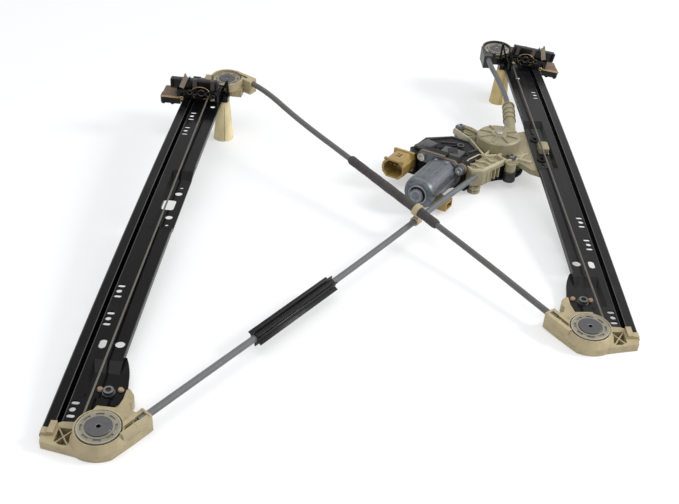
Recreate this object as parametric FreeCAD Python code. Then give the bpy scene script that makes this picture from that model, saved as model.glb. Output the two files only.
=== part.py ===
# Window regulator with two guide rails, closed cable loop, drum and motor drive
import FreeCAD, Part
import math
import os

os.makedirs("parts", exist_ok=True)
V = FreeCAD.Vector

# Layout of the two rails on the bench (mm and degrees)
RAIL_SPREAD = 400.0
RAIL_STAGGER = 166.0
RAIL_LEAN = 4.15
RAIL_TILT = 5.0
BASE_LIFT = 5.2
RAIL_RADIUS = 6650.0
RAIL_MIDDLE = 270.0

# Rail section, pressed from one sheet
SHEET = 1.5
WEB_INNER = -2.8
CHANNEL_START = -32.5
CHANNEL_SLOPE = 2.4
CHANNEL_FLOOR = -3.0
RAIL_OUTER = -44.5
LIP_TOP = 3.0
LIP_INNER = -35.8
EDGE_DROP = 4.0
RAIL_START = -7.0
PAD_DEPTH = 4.0
LEFT_RAIL_END = 556.0
RIGHT_RAIL_END = 534.0

# Cable, conduits and pulleys
CABLE_RADIUS = 0.9
CONDUIT_RADIUS = 3.05
GROOVE_LOW = 15.6
GROOVE_TOP = 14.0
FLANGE_DEPTH = 1.6
PULLEY_THICK = 5.2
FLANGE_THICK = 1.2
AXLE_RADIUS = 5.0
RUNNING_GAP = 0.05
SEAT_GAP = 0.3
CABLE_HEIGHT = 8.0
HEAD_LOW = 10.35
HEAD_TOP = 8.8
HEAD_THICK = 1.25

# Top pulley centres and carrier places, measured along each rail
TOP_PULLEY = {"left": (-3.0, 543.0), "right": (3.0, 521.0)}
CARRIER_AT = {"left": 513.0, "right": 493.0}
RAIL_END = {"left": LEFT_RAIL_END, "right": RIGHT_RAIL_END}
CLAMP_ROLL = {"left": 0.0, "right": 10.5}

# Drum and gear drive, measured from the drum axis on the bench
DRUM_INBOARD = 55.5
DRUM_ALONG = 309.0
DRUM_X = RAIL_SPREAD / 2 - DRUM_INBOARD
DRUM_Y = RAIL_STAGGER + DRUM_ALONG
DRUM_GROOVE = 19.0
DRUM_RIM = 21.0
DRUM_BASE = 27.0
DRUM_TOP = 41.0
DRUM_TURNS = 3
SHAFT_RADIUS = 4.0
CASE_RADIUS = 24.0
DOME_TOP = 47.4
WORM_OFFSET = 30.5
MOTOR_ANGLE = 61.4
SIDES = ("left", "right")


def box(x0, x1, y0, y1, z0, z1):
    return Part.makeBox(x1 - x0, y1 - y0, z1 - z0, V(x0, y0, z0))


def rod(x, y, z0, z1, radius):
    return Part.makeCylinder(radius, z1 - z0, V(x, y, z0))


def rod_along(start, direction, length, radius):
    return Part.makeCylinder(radius, length, V(*start), V(*direction))


def loop(steps):
    """Closed wire from plan points; a pair of points is an arc through the first to the second."""
    edges = []
    here = V(steps[0][0], steps[0][1], 0)
    first = here
    for step in steps[1:]:
        if isinstance(step[0], tuple):
            mid = V(step[0][0], step[0][1], 0)
            end = V(step[1][0], step[1][1], 0)
            edges.append(Part.Arc(here, mid, end).toShape())
        else:
            end = V(step[0], step[1], 0)
            edges.append(Part.LineSegment(here, end).toShape())
        here = end
    if (here - first).Length > 1e-6:
        edges.append(Part.LineSegment(here, first).toShape())
    return Part.Wire(edges)


def prism(steps, z0, z1):
    face = Part.Face(loop(steps))
    face.translate(V(0, 0, z0))
    return face.extrude(V(0, 0, z1 - z0))


def slot(x, y, length, width, z0, z1, angle=0.0):
    """Round-ended slot cutter, long side across the rail unless turned."""
    half = (length - width) / 2
    radius = width / 2
    body = prism([(-half, -radius), (half, -radius), ((half + radius, 0), (half, radius)),
                  (-half, radius), ((-half - radius, 0), (-half, -radius))], z0, z1)
    body.rotate(V(0, 0, 0), V(0, 0, 1), angle)
    body.translate(V(x, y, 0))
    return body


def spun(points, x=0.0, y=0.0):
    """Solid of revolution about an upright axis from (radius, height) points."""
    wire = Part.makePolygon([V(r, 0, z) for r, z in points] + [V(points[0][0], 0, points[0][1])])
    solid = Part.Face(wire).revolve(V(0, 0, 0), V(0, 0, 1), 360)
    solid.translate(V(x, y, 0))
    return solid


def upright_edges(solid, tolerance=1e-4):
    found = []
    for edge in solid.Edges:
        if len(edge.Vertexes) == 2:
            step = edge.Vertexes[1].Point - edge.Vertexes[0].Point
            if abs(step.x) < tolerance and abs(step.y) < tolerance and abs(step.z) > 1:
                found.append(edge)
    return found


def softened(solid, radius):
    return solid.makeFillet(radius, upright_edges(solid))


def joined(first, *others):
    whole = first
    for other in others:
        whole = whole.fuse(other)
    return whole.removeSplitter()


def without(whole, *cutters):
    for cutter in cutters:
        whole = whole.cut(cutter)
    return whole


def web_height(along):
    """Height of the web's top face over the line between the two ends of the arc."""
    return math.sqrt(RAIL_RADIUS ** 2 - (along - RAIL_MIDDLE) ** 2) - math.sqrt(RAIL_RADIUS ** 2 - RAIL_MIDDLE ** 2)


def on_web(shape, along):
    """Move a shape made at the origin to lie on the web's top face at a place along the rail."""
    placed = shape.copy()
    slope = math.degrees(math.asin((along - RAIL_MIDDLE) / RAIL_RADIUS))
    placed.rotate(V(0, 0, 0), V(1, 0, 0), -slope)
    placed.translate(V(0, along, web_height(along)))
    return placed


def on_bench(shape, side):
    """Carry a shape from the left rail's own frame to the bench, mirrored for the right rail."""
    placed = shape.copy()
    if side == "right":
        placed = placed.mirror(V(0, 0, 0), V(1, 0, 0))
    sign = -1 if side == "left" else 1
    placed.rotate(V(0, 0, 0), V(0, 0, 1), sign * RAIL_LEAN)
    placed.rotate(V(0, 0, 0), V(1, 0, 0), RAIL_TILT)
    shift = 0 if side == "left" else RAIL_STAGGER
    placed.translate(V(sign * RAIL_SPREAD / 2, shift, BASE_LIFT))
    return placed


def bench_point(side, across, along, height):
    """Bench place of a point of a rail's frame; the height is over the straight line of its ends."""
    return on_bench(Part.Vertex(V(across, along, height)), side).Point


made = {}


def save(shape, name):
    if not shape.isValid():
        print("NOT VALID", name)
    made[name] = shape
    print(name, len(shape.Solids), "solids, volume", round(shape.Volume))


def hollow_floor(s0, s1, depth, far_slope, near_slope, side_slope, left, right):
    """Loft of a sunken pad: opening at the web's face, floor below it."""
    top = Part.makePolygon([V(left, s0, 0), V(right, s0, 0), V(right, s1, 0), V(left, s1, 0), V(left, s0, 0)])
    low = Part.makePolygon([V(left + side_slope, s0 + near_slope, -depth), V(right, s0 + near_slope, -depth),
                            V(right, s1 - far_slope, -depth), V(left + side_slope, s1 - far_slope, -depth),
                            V(left + side_slope, s0 + near_slope, -depth)])
    return Part.makeLoft([top, low], True, True)


def rail_blank(side):
    """Pressed rail section swept along its arc."""
    points = [(WEB_INNER, -EDGE_DROP), (WEB_INNER, 0), (CHANNEL_START, 0),
              (CHANNEL_START - CHANNEL_SLOPE, CHANNEL_FLOOR), (RAIL_OUTER + SHEET, CHANNEL_FLOOR),
              (RAIL_OUTER + SHEET, LIP_TOP - SHEET), (LIP_INNER, LIP_TOP - SHEET), (LIP_INNER, LIP_TOP),
              (RAIL_OUTER, LIP_TOP), (RAIL_OUTER, CHANNEL_FLOOR - SHEET),
              (CHANNEL_START - CHANNEL_SLOPE - 0.7, CHANNEL_FLOOR - SHEET), (CHANNEL_START - 0.7, -SHEET),
              (WEB_INNER - SHEET, -SHEET), (WEB_INNER - SHEET, -EDGE_DROP)]
    section = Part.Face(Part.makePolygon([V(u, RAIL_MIDDLE, h) for u, h in points + points[:1]]))
    centre = V(0, RAIL_MIDDLE, -math.sqrt(RAIL_RADIUS ** 2 - RAIL_MIDDLE ** 2))
    section.translate(V(0, 0, RAIL_RADIUS + centre.z))
    before = math.degrees(math.asin((RAIL_MIDDLE - RAIL_START) / RAIL_RADIUS))
    after = math.degrees(math.asin((RAIL_END[side] - RAIL_MIDDLE) / RAIL_RADIUS))
    section.rotate(centre, V(1, 0, 0), before)
    return section.revolve(centre, V(-1, 0, 0), before + after)


# Sunken pads: place along the rail of the middle and half length, left edge
MOTOR_PAD = (DRUM_ALONG, 48.5, -24.0)
SCREW_PAD = (58.8, 20.9, -26.5)
PEG_HOLE = (-16.0, DRUM_ALONG - 6.0, 12.4, 18.0)
RIVET_HOLES = ((-10.6, DRUM_ALONG + 14.0), (-11.2, DRUM_ALONG - 26.4))
RIVET_HOLE_RADIUS = 3.7
SMALL_HOLES = ((-9.9, DRUM_ALONG + 24.4), (-10.5, DRUM_ALONG - 39.1))
SCREW_AT = (-6.1, 47.6)
PEGS_AT = ((-13.8, 50.1), (2.6, 51.9))
SLOT_ROWS = {"left": (24.1, 128.6, 164.6, 437.0, 469.0), "right": (24.1, 128.6, 164.6, 420.0)}
TOP_HOLE = {"left": (-10.1, 493.4), "right": (-15.0, 462.0)}
SLOT_PITCH = 6.9
SLOT_ROW_U = -27.8
POCKET = (-31.6, -19.8, -15.4, 1.4)
POCKET_WALL = 1.2
PEG_RADIUS = 2.6
SCREW_RADIUS = 3.0
SCREW_HEAD = 5.1


def at_pad(shape, across, along, pad):
    """Set a shape on the flat floor of a sunken pad, given its heights from the web."""
    placed = shape.copy()
    placed.translate(V(across, along - pad[0], 0))
    return on_web(placed, pad[0])


def pad_tray(pad, far_slope, near_slope, side_slope):
    along, half, left = pad
    inner = hollow_floor(-half, half, PAD_DEPTH, far_slope, near_slope, side_slope, left, WEB_INNER)
    shell = hollow_floor(-half - SHEET, half + SHEET, PAD_DEPTH + SHEET, far_slope, near_slope,
                         side_slope, left - SHEET, WEB_INNER)
    lid = box(left, WEB_INNER + 1, -half, half, 0, 3)
    return on_web(shell, along), on_web(joined(inner, lid), along)


def screw_lobe():
    """Rounded ear of the lower pad that reaches past the web's inner edge."""
    floor = -PAD_DEPTH
    ear = prism([(WEB_INNER - 3, 90), (-1.6, 88), ((3.4, 76), (6.2, 63)), ((7.4, 54), (5.4, 43)),
                 ((1.5, 35.5), (-6, 33.5)), (WEB_INNER - 6, 33.5), (WEB_INNER - 6, 90)], floor - SHEET, floor)
    ear.translate(V(0, -SCREW_PAD[0], 0))
    return on_web(ear, SCREW_PAD[0])


def rail(side):
    body = rail_blank(side)
    motor_shell, motor_space = pad_tray(MOTOR_PAD, 11.0, 2.5, 3.0)
    screw_shell, screw_space = pad_tray(SCREW_PAD, 11.0, 2.5, 3.0)
    body = joined(body, motor_shell, screw_shell)
    body = without(body, motor_space, screw_space)
    body = joined(body, screw_lobe())
    cutters = []
    for row in SLOT_ROWS[side]:
        cutters.append(on_web(slot(SLOT_ROW_U, SLOT_PITCH, 6.8, 4.0, -3, 1), row))
        cutters.append(on_web(rod(SLOT_ROW_U - 0.5, 0, -3, 1, 2.7), row))
        cutters.append(on_web(slot(SLOT_ROW_U, -SLOT_PITCH, 6.8, 4.0, -3, 1), row))
    cutters.append(on_web(slot(-24.6, 0, 11.5, 6.2, -3, 1, 90), 98.0))
    cutters.append(on_web(rod(-10.2, 0, -3, 1, 4.2), 99.2))
    hole = TOP_HOLE[side]
    cutters.append(on_web(rod(hole[0], 0, -3, 1, 2.9), hole[1]))
    across, along, wide, long = PEG_HOLE
    cutters.append(on_web(softened(box(across - wide / 2, across + wide / 2, -long / 2, long / 2, -9, 1), 3.0), along))
    for across, along in RIVET_HOLES:
        cutters.append(on_web(rod(across, 0, -9, 1, RIVET_HOLE_RADIUS), along))
    for across, along in SMALL_HOLES:
        cutters.append(on_web(rod(across, 0, -9, 1, 1.9), along))
    cutters.append(on_web(rod(SCREW_AT[0], 0, -9, 1, SCREW_RADIUS + 0.25), SCREW_AT[1]))
    cutters.append(rod(0, 0, -9, 3, AXLE_RADIUS + SEAT_GAP))
    for across, along in PEGS_AT:
        cutters.append(on_web(rod(across, 0, -9, 1, PEG_RADIUS + 0.1), along))
    return without(body, *cutters, pocket_notch(0.0))


def pocket_notch(gap):
    """Part of the web's lower end that is left out for the housing's pocket."""
    u0, u1, s0, s1 = POCKET
    return box(u0 - POCKET_WALL + gap, u1 + POCKET_WALL - gap, s0 - 20, s1 + POCKET_WALL - gap, -12, 3)


# Bottom pulley housing, seen in the left rail's frame
HOUSING_UNDER = -5.1
HOUSING_FACE = 3.6
RIM_TOP = 9.9
HOUSING_BOW = 23.4
POCKET_FLOOR = -3.6
RING_CLEAR = 0.9
CONDUIT_TURN_LOW = 34.0
SLEEVE_END = 35.0
SLEEVE_ROOF = 0.7
SLEEVE_HALF = 5.6
CONDUIT_SOCKET = 9.0
SOCKET_GAP = 0.02


def cable_line(radius, turn, centre=(0.0, 0.0)):
    """Tangent point and direction of the cable where it leaves a pulley towards its conduit."""
    angle = math.radians(turn)
    direction = (math.sin(angle), math.cos(angle))
    normal = (math.cos(angle), -math.sin(angle))
    return (centre[0] + normal[0] * radius, centre[1] + normal[1] * radius), direction


def low_pulley_housing():
    ring = GROOVE_LOW + FLANGE_DEPTH + RING_CLEAR
    wall = ring + 1.8
    start, direction = cable_line(GROOVE_LOW, CONDUIT_TURN_LOW)
    end = (start[0] + direction[0] * SLEEVE_END, start[1] + direction[1] * SLEEVE_END)
    right = (end[0] + direction[1] * SLEEVE_HALF, end[1] - direction[0] * SLEEVE_HALF)
    left = (end[0] - direction[1] * SLEEVE_HALF, end[1] + direction[0] * SLEEVE_HALF)
    bow = HOUSING_BOW
    base = prism([(-43.5, -7.4), (-42.0, -14.5), (-26.0, -17.5), (-13.0, -bow * 0.86),
                  ((0.5, -bow), (14.0, -bow * 0.80)), (right[0], right[1]), (left[0], left[1]), (17.0, 27.5),
                  (14.5, 34.0), ((13.0, 46.5), (4.0, 47.5)), (-5.0, 40.0), (-12.0, 22.0), (-18.0, 9.0),
                  (-31.0, 7.5), (-33.4, 6.0), (-33.4, -7.4)], HOUSING_UNDER, HOUSING_FACE)
    rim = rod(0, 0, HOUSING_FACE - 0.5, RIM_TOP, bow)
    rim = rim.cut(prism([(0, 0), (-60, -26), (-60, 60), (16, 60)], 0, 30))
    rim = rim.cut(spun([(wall, RIM_TOP), (bow, HOUSING_FACE), (bow + 5, HOUSING_FACE), (bow + 5, RIM_TOP + 1),
                        (wall, RIM_TOP + 1)]))
    sleeve = box(-SLEEVE_HALF, SLEEVE_HALF, 6.0, SLEEVE_END, HOUSING_FACE - 0.5,
                 CABLE_HEIGHT + CONDUIT_RADIUS + SLEEVE_ROOF)
    sleeve.rotate(V(0, 0, 0), V(0, 0, 1), -CONDUIT_TURN_LOW)
    sleeve.translate(V(start[0], start[1], 0))
    body = joined(base, rim, sleeve)
    hook = joined(box(-43.6, -38.2, -7.4, -1.5, HOUSING_FACE - 0.6, HOUSING_FACE + 2.4),
                  box(-38.4, -33.4, -7.4, 4.8, HOUSING_UNDER, HOUSING_FACE + 3.6))
    body = joined(body, hook)
    near = RAIL_START - SEAT_GAP
    rail_space = joined(box(-46, WEB_INNER + SEAT_GAP, near, 80, -12, SEAT_GAP),
                        box(-46, LIP_INNER + SEAT_GAP, near, 80, -12, LIP_TOP + SEAT_GAP))
    rail_space.translate(V(0, -20, 0))
    rail_space = on_web(rail_space, 20)
    body = body.cut(rail_space.cut(pocket_notch(SEAT_GAP)))
    body = without(body, rod(0, 0, HOUSING_FACE, 20, ring), rod(0, 0, -9, 20, AXLE_RADIUS + RUNNING_GAP))
    u0, u1, s0, s1 = POCKET
    hole = prism([(u0, s0 + 3), (u0 + 5, s0), (u1, s0), (u1, s1), (u0, s1)], POCKET_FLOOR, 9)
    body = body.cut(hole)
    middle = V((u0 + u1) / 2, (s0 + s1) / 2, 0)
    for end in (V(u0, s1, 0), V(u1, s1, 0)):
        reach = (end - middle).Length + 2
        rib = box(-0.55, 0.55, -reach, reach, POCKET_FLOOR - 0.1, HOUSING_FACE - 0.4)
        rib.rotate(V(0, 0, 0), V(0, 0, 1), math.degrees(math.atan2(middle.x - end.x, end.y - middle.y)))
        rib.translate(middle)
        body = joined(body, rib.common(box(u0 - 0.4, u1 + 0.4, s0 - 0.4, s1 + 0.4, -9, 9)))
    bore = rod_along((start[0] + direction[0] * (SLEEVE_END - CONDUIT_SOCKET),
                      start[1] + direction[1] * (SLEEVE_END - CONDUIT_SOCKET), CABLE_HEIGHT),
                     (direction[0], direction[1], 0), CONDUIT_SOCKET + 40, CONDUIT_RADIUS + SOCKET_GAP)
    channel = box(-1.6, 1.6, -1.0, SLEEVE_END - CONDUIT_SOCKET + 0.2, CABLE_HEIGHT - 1.6, 30)
    window = box(-2.1, 2.1, SLEEVE_END - CONDUIT_SOCKET - 1.5, SLEEVE_END - 2.4, CABLE_HEIGHT + 1, 30)
    channel = channel.fuse(window)
    channel.rotate(V(0, 0, 0), V(0, 0, 1), -CONDUIT_TURN_LOW)
    channel.translate(V(start[0], start[1], 0))
    body = without(body, bore, channel)
    body = body.cut(prism([(-40, 28), (6.5, 28), (8.6, 38), (8.6, 60), (-40, 60)], -20, 30))
    ear = prism([(9.0, 26), (17.0, 27.5), (14.5, 34.0), ((13.0, 46.5), (9.0, 48.0))], -6.4, HOUSING_FACE)
    tongue = prism([(-20, -16), (12, -16), (12.5, -2), ((9, 8), (2, 10)), (-14, 10), (-20, 4)],
                   -PAD_DEPTH - SHEET - 2.6, -PAD_DEPTH - SHEET - SEAT_GAP / 2)
    body = joined(body, ear, at_pad(tongue, 0, SCREW_AT[1], SCREW_PAD))
    for across, along in PEGS_AT + (SCREW_AT,):
        body = body.cut(at_pad(rod(0, 0, -14, 1, SCREW_RADIUS + 0.1), across, along, SCREW_PAD))
    return body


RIDGE_RISE = 0.5
SLOT_COUNT = 8
SLOT_SPREAD = 7.0


def pulley(groove, height=CABLE_HEIGHT):
    """Cable pulley with a half-round groove, recessed face and running bore."""
    outer = groove + FLANGE_DEPTH
    low = height - PULLEY_THICK / 2
    top = height + PULLEY_THICK / 2
    bottom = groove - CABLE_RADIUS - SEAT_GAP
    bore = AXLE_RADIUS + RUNNING_GAP
    slots = groove - 3.0
    ridge = groove - 4.6
    profile = [(bore, low), (outer, low), (outer, low + FLANGE_THICK), (bottom, height - CABLE_RADIUS),
               (bottom, height + CABLE_RADIUS), (outer, top - FLANGE_THICK), (outer, top), (slots - 0.2, top),
               (slots - 0.2, top + RIDGE_RISE), (ridge, top + RIDGE_RISE), (ridge, top), (bore, top)]
    body = spun(profile)
    arcs = spun([(slots, top - 1.0), (slots + 1.9, top - 1.0), (slots + 1.9, top + 1), (slots, top + 1)])
    for index in range(SLOT_COUNT):
        wedge = prism([(0, 0), (30, -SLOT_SPREAD), (30, SLOT_SPREAD)], top - 3, top + 3)
        wedge.rotate(V(0, 0, 0), V(0, 0, 1), 360.0 * index / SLOT_COUNT + 10)
        body = body.cut(arcs.common(wedge))
    return body


def pulley_axle(head, foot):
    top = CABLE_HEIGHT + PULLEY_THICK / 2 + 0.1
    return spun([(2.1, foot), (AXLE_RADIUS, foot), (AXLE_RADIUS, top), (head - 0.6, top), (head, top + 0.5),
                 (head, top + HEAD_THICK - 0.3), (head - 0.3, top + HEAD_THICK), (2.1, top + HEAD_THICK)])


# Top pulley housings, seen in each rail's own frame
TOP_TURN = {"left": 120.0, "right": 180.0}
TOP_SLEEVE = {"left": 27.0, "right": 23.5}
TOP_SLEEVE_HALF = 5.4
TOWER_TOP = 12.8


def top_exit(side):
    angle = math.radians(TOP_TURN[side])
    direction = (math.sin(angle), math.cos(angle))
    centre = TOP_PULLEY[side]
    start = (centre[0] - direction[1] * GROOVE_TOP, centre[1] + direction[0] * GROOVE_TOP)
    return start, direction


def turned_box(start, direction, x0, x1, y0, y1, z0, z1):
    """Box laid out along a plan direction from a start point; y runs along the direction."""
    body = box(x0, x1, y0, y1, z0, z1)
    body.rotate(V(0, 0, 0), V(0, 0, 1), -math.degrees(math.atan2(direction[0], direction[1])))
    body.translate(V(start[0], start[1], 0))
    return body


def top_pulley_housing(side):
    """Cup round the top pulley with a conduit sleeve, wrapped over the end of the rail."""
    cu, cs = TOP_PULLEY[side]
    ring = GROOVE_TOP + FLANGE_DEPTH + RING_CLEAR
    wall = ring + 1.8
    start, direction = top_exit(side)
    length = TOP_SLEEVE[side]
    end = RAIL_END[side]
    base = prism([(-31.0, cs - 3), (-24.0, cs - 9), (-15, cs - 11.5), (WEB_INNER + SEAT_GAP, cs - 12),
                  (cu + wall, cs - 12), (cu + wall + 1, cs), ((cu + wall * 0.75, cs + wall * 0.75), (cu, cs + wall)),
                  (cu - 10, cs + wall), (-31.0, end + 5)], HOUSING_UNDER, HOUSING_FACE)
    sleeve = turned_box(start, direction, -TOP_SLEEVE_HALF, TOP_SLEEVE_HALF, -2, length, HOUSING_UNDER + 1,
                        CABLE_HEIGHT + CONDUIT_RADIUS + 1.4)
    tower = rod(cu, cs, HOUSING_FACE - 0.5, TOWER_TOP, wall)
    tower = without(tower, rod(cu, cs, 0, 30, ring), box(-60, cu + 4, cs - 40, cs + 1, 0, 30))
    body = joined(base, tower, sleeve)
    rail_space = box(-46, WEB_INNER + SEAT_GAP, -80, end + SEAT_GAP - cs, -20, SEAT_GAP)
    body = body.cut(on_web(rail_space, cs))
    body = without(body, rod(cu, cs, HOUSING_FACE, 30, ring))
    body = without(body, rod(cu, cs, -9, 20, AXLE_RADIUS + RUNNING_GAP))
    bore_start = (start[0] + direction[0] * (length - CONDUIT_SOCKET), start[1] + direction[1] * (length - CONDUIT_SOCKET))
    bore = rod_along((bore_start[0], bore_start[1], CABLE_HEIGHT), (direction[0], direction[1], 0), 60,
                     CONDUIT_RADIUS + SOCKET_GAP)
    channel = turned_box(start, direction, -1.6, 1.6, -6, length - CONDUIT_SOCKET + 0.2, CABLE_HEIGHT - 1.6, 40)
    return without(body, bore, channel)


# Carrier, seen from its own place along the rail
CARRIER_HALF = 13.0
SLIDE_GAP = 0.3
SLIDER_TOP = 10.0
SLIDER_OUTER = -46.8
CORE_TOP = 13.8
JAW_TOP = 26.0
JAW_TIP = -71.0
JAW_LOW = -6.0
GLASS_SEAT = 3.0
PAD_THICK = 1.2
RISER = (-52.0, -48.2)
CLAMP_SCREW_AT = (-26.0, 2.0)
CABLE_SIDE = {"left": (-20.0, -13.8), "right": (-22.2, -9.4)}
NIPPLE_AT = {"left": (-17.6, 7.0), "right": (-12.6, 7.0)}
NIPPLE_RADIUS = 2.2


def jaw_place(shape, side):
    """Tilt of the glass clamp about the slider's outer top edge."""
    placed = shape.copy()
    placed.rotate(V(SLIDER_OUTER, 0, SLIDER_TOP), V(0, 1, 0), -CLAMP_ROLL[side])
    return placed


def nipple_bore(side):
    x, y = NIPPLE_AT[side]
    return rod(x, y, 7.0, 12.6, NIPPLE_RADIUS + 0.05)


def catch_notch(side):
    """Room beside the end bracket at the carrier's upper inner corner."""
    start = BRACKET_AT[side] - CARRIER_AT[side] - 0.6
    return box(-9.0, 10, start, start + 40, -10, 40)


def slider(side):
    """Carrier body that rides on the web and hooks under the rail's outer lip."""
    low = SLIDE_GAP
    half = CARRIER_HALF
    block = prism([(SLIDER_OUTER, -half + 2), (SLIDER_OUTER + 2, -half), (-6.5, -half), (-5.0, -half + 2),
                   (-5.0, half - 2), (-7, half), (SLIDER_OUTER + 2, half), (SLIDER_OUTER, half - 2)], low, SLIDER_TOP)
    wedge = jaw_place(box(SLIDER_OUTER + 2, -7, -half, half, 2.5, SLIDER_TOP), side)
    block = joined(block, wedge)
    block = without(block, box(-50, LIP_INNER + SLIDE_GAP + 0.1, -30, 30, -10, LIP_TOP + SLIDE_GAP))
    leg = box(SLIDER_OUTER - 0.8, RAIL_OUTER - SLIDE_GAP, -half + 2, half - 2, -3.4, SLIDER_TOP - 1)
    stem = box(LIP_INNER + 0.4, CHANNEL_START - 1.1, -half + 2, half - 2, -1.0, low + 0.2)
    hook = box(RAIL_OUTER + SHEET + 0.4, CHANNEL_START - 2.6, -half + 2, half - 2, CHANNEL_FLOOR + 0.4,
               LIP_TOP - SHEET - 0.4)
    body = joined(block, leg, stem, hook)
    u0, u1 = CABLE_SIDE[side]
    body = body.cut(box(u0, u1, -30, 30, -1, SLIDER_TOP - 1.2))
    body = body.cut(nipple_bore(side))
    hole = rod(CLAMP_SCREW_AT[0], CLAMP_SCREW_AT[1], 3.5, 30, SCREW_RADIUS + 0.05)
    return without(body, jaw_place(hole, side), catch_notch(side))


def screw_bore():
    return rod(CLAMP_SCREW_AT[0], CLAMP_SCREW_AT[1], 0, 60, SCREW_RADIUS + 0.05)


def clamp_base(side):
    """Core of the clamp with its lower jaw arm, which reaches outboard beside the rail."""
    half = CARRIER_HALF
    core = prism([(RISER[0], -half), (-8, -half), (-6.5, -half + 2), (-6.5, half - 3), (-9, half), (RISER[0], half)],
                 SLIDER_TOP + 0.02, CORE_TOP)
    riser = box(RISER[0], RISER[1], -half, half, JAW_LOW + 3, CORE_TOP)
    arm = prism([(JAW_TIP, -half + 2), (JAW_TIP + 2, -half), (RISER[1], -half), (RISER[1], -half + 12),
                 (JAW_TIP + 1, -half + 12), (JAW_TIP, -half + 11)], JAW_LOW + 1.6, GLASS_SEAT)
    shelf = box(JAW_TIP + 0.6, RISER[1], -half + 1, half, GLASS_SEAT - 2.4, GLASS_SEAT)
    bumps = [rod_along((u, -half + 0.4, JAW_LOW + 2.4), (0, 1, 0), 11, 2.4) for u in (JAW_TIP + 3.2, JAW_TIP + 13.5)]
    strut = prism([(-50, -half), (-38, -half), (-38, -half + 2.4), (-50, -half + 2.4)], GLASS_SEAT, SLIDER_TOP + 1)
    body = joined(core, riser, arm, shelf, strut, *bumps)
    body = jaw_place(body.cut(screw_bore()), side)
    beside = box(SLIDER_OUTER - 1.2, 0, -30, 30, -20, SLIDER_TOP - 0.98)
    over = jaw_place(box(SLIDER_OUTER - 1, 0, -30, 30, -20, SLIDER_TOP + 0.02), side)
    return without(body, beside, over, nipple_bore(side), catch_notch(side))


def clamp_jaw(side):
    """Upper jaw: ribbed bar over the glass."""
    low = CORE_TOP + 0.02
    bar = prism([(-59.5, -9), (-58, -10.5), (-9, -10.5), (-7.5, -9), (-7.5, 12), (-59.5, 12)], low, JAW_TOP)
    for u0, u1 in ((-57.6, -50.0), (-38.0, -30.0), (-18.0, -9.5)):
        bar = bar.cut(box(u0, u1, -8.6, 10.2, CORE_TOP + 3, JAW_TOP + 1))
    bar = bar.cut(box(-59, RISER[0] - 0.2, -20, 20, 0, CORE_TOP + 0.1))
    return jaw_place(bar.cut(screw_bore()), side)


def glass_pads(side):
    """Soft linings of both jaws where the glass is gripped."""
    half = CARRIER_HALF
    low = box(JAW_TIP + 1.4, RISER[0] - 0.1, -half + 1.4, half - 0.6, GLASS_SEAT + 0.02, GLASS_SEAT + PAD_THICK)
    high = box(-58.8, RISER[0] - 0.1, -9.6, 11.4, CORE_TOP - PAD_THICK, CORE_TOP)
    return jaw_place(Part.makeCompound([low, high]), side)


def clamp_clip(side):
    """Slanted locking strap on the front of the upper jaw."""
    strap = box(-2.7, 2.7, -12.0, -10.52, -9.0, 9.0)
    notch = box(-0.6, 3, -13, -9, 6.4, 10)
    strap = strap.cut(notch)
    strap.rotate(V(0, 0, 0), V(0, 1, 0), 22)
    strap.translate(V(-43.4, 0, 24.0))
    return jaw_place(strap, side)


def clamp_springs(side):
    """Two spring plates folded over the front of the upper jaw."""
    pieces = []
    for u in (-34.0, -14.4):
        face = box(u, u + 4.6, -11.3, -10.52, CORE_TOP + 1, JAW_TOP + 0.8)
        over = box(u, u + 4.6, -11.3, -8.7, JAW_TOP + 0.02, JAW_TOP + 0.8)
        pieces.append(joined(face, over))
    return jaw_place(Part.makeCompound(pieces), side)


def clamp_screw(side):
    x, y = CLAMP_SCREW_AT
    shank = rod(x, y, 4.0, JAW_TOP + 0.02, SCREW_RADIUS)
    head = rod(x, y, JAW_TOP + 0.02, JAW_TOP + 4.0, 5.2).cut(rod(x, y, JAW_TOP + 1.6, JAW_TOP + 5, 2.6))
    return jaw_place(joined(shank, head), side)


def cable_nipple(side):
    x, y = NIPPLE_AT[side]
    return rod(x, y, 8.8, 11.6, NIPPLE_RADIUS)


BRACKET_HIGH = {"left": 19.5, "right": 27.5}


def end_bracket(side):
    """Folded A-shaped catch on the rail's inner edge over the post."""
    high = BRACKET_HIGH[side]
    outer = [(-8.6, -3.1), (3.4, -3.1), (3.4, 4.5), (2.0, high), (0.4, high), (-8.6, 1.8)]
    inner = [(-5.6, 2.0), (1.0, 2.0), (0.6, high - 4.6)]
    plate = Part.Face(Part.makePolygon([V(u, 0, h) for u, h in outer + outer[:1]]))
    window = Part.Face(Part.makePolygon([V(u, 0, h) for u, h in inner + inner[:1]]))
    body = plate.cut(window).extrude(V(0, 3.0, 0))
    foot = box(WEB_INNER + SEAT_GAP, 3.4, -8, 8, -3.1, 1.8)
    body = joined(body, foot)
    return body.cut(box(-20, WEB_INNER + SEAT_GAP, -30, 30, -20, 0.02))


BRACKET_AT = {"left": 519.0, "right": 497.0}
POST_FOOT = 11.5
POST_TOP = 6.6


def rail_post(side):
    """Conical stand between the bench and the rail's top end, split down its middle by a seam."""
    along = BRACKET_AT[side]
    foot = bench_point(side, WEB_INNER, along, 0)
    height = bench_point(side, 0, along, web_height(along)).z
    cone = Part.makeCone(POST_FOOT, POST_TOP, height, V(foot.x, foot.y, 0))
    seam = box(foot.x - 0.5, foot.x + 0.5, foot.y - 14, foot.y + 14, 2, height)
    cone = cone.cut(seam.cut(Part.makeCone(POST_FOOT - 0.6, POST_TOP - 0.6, height, V(foot.x, foot.y, 0))))
    over = joined(box(-60, WEB_INNER - SHEET - 0.3, -40, 40, -SHEET - 0.02, 40),
                  box(-60, 40, -40, 40, -EDGE_DROP - 0.02, 40))
    return cone.cut(on_bench(on_web(over, along), side))


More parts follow.
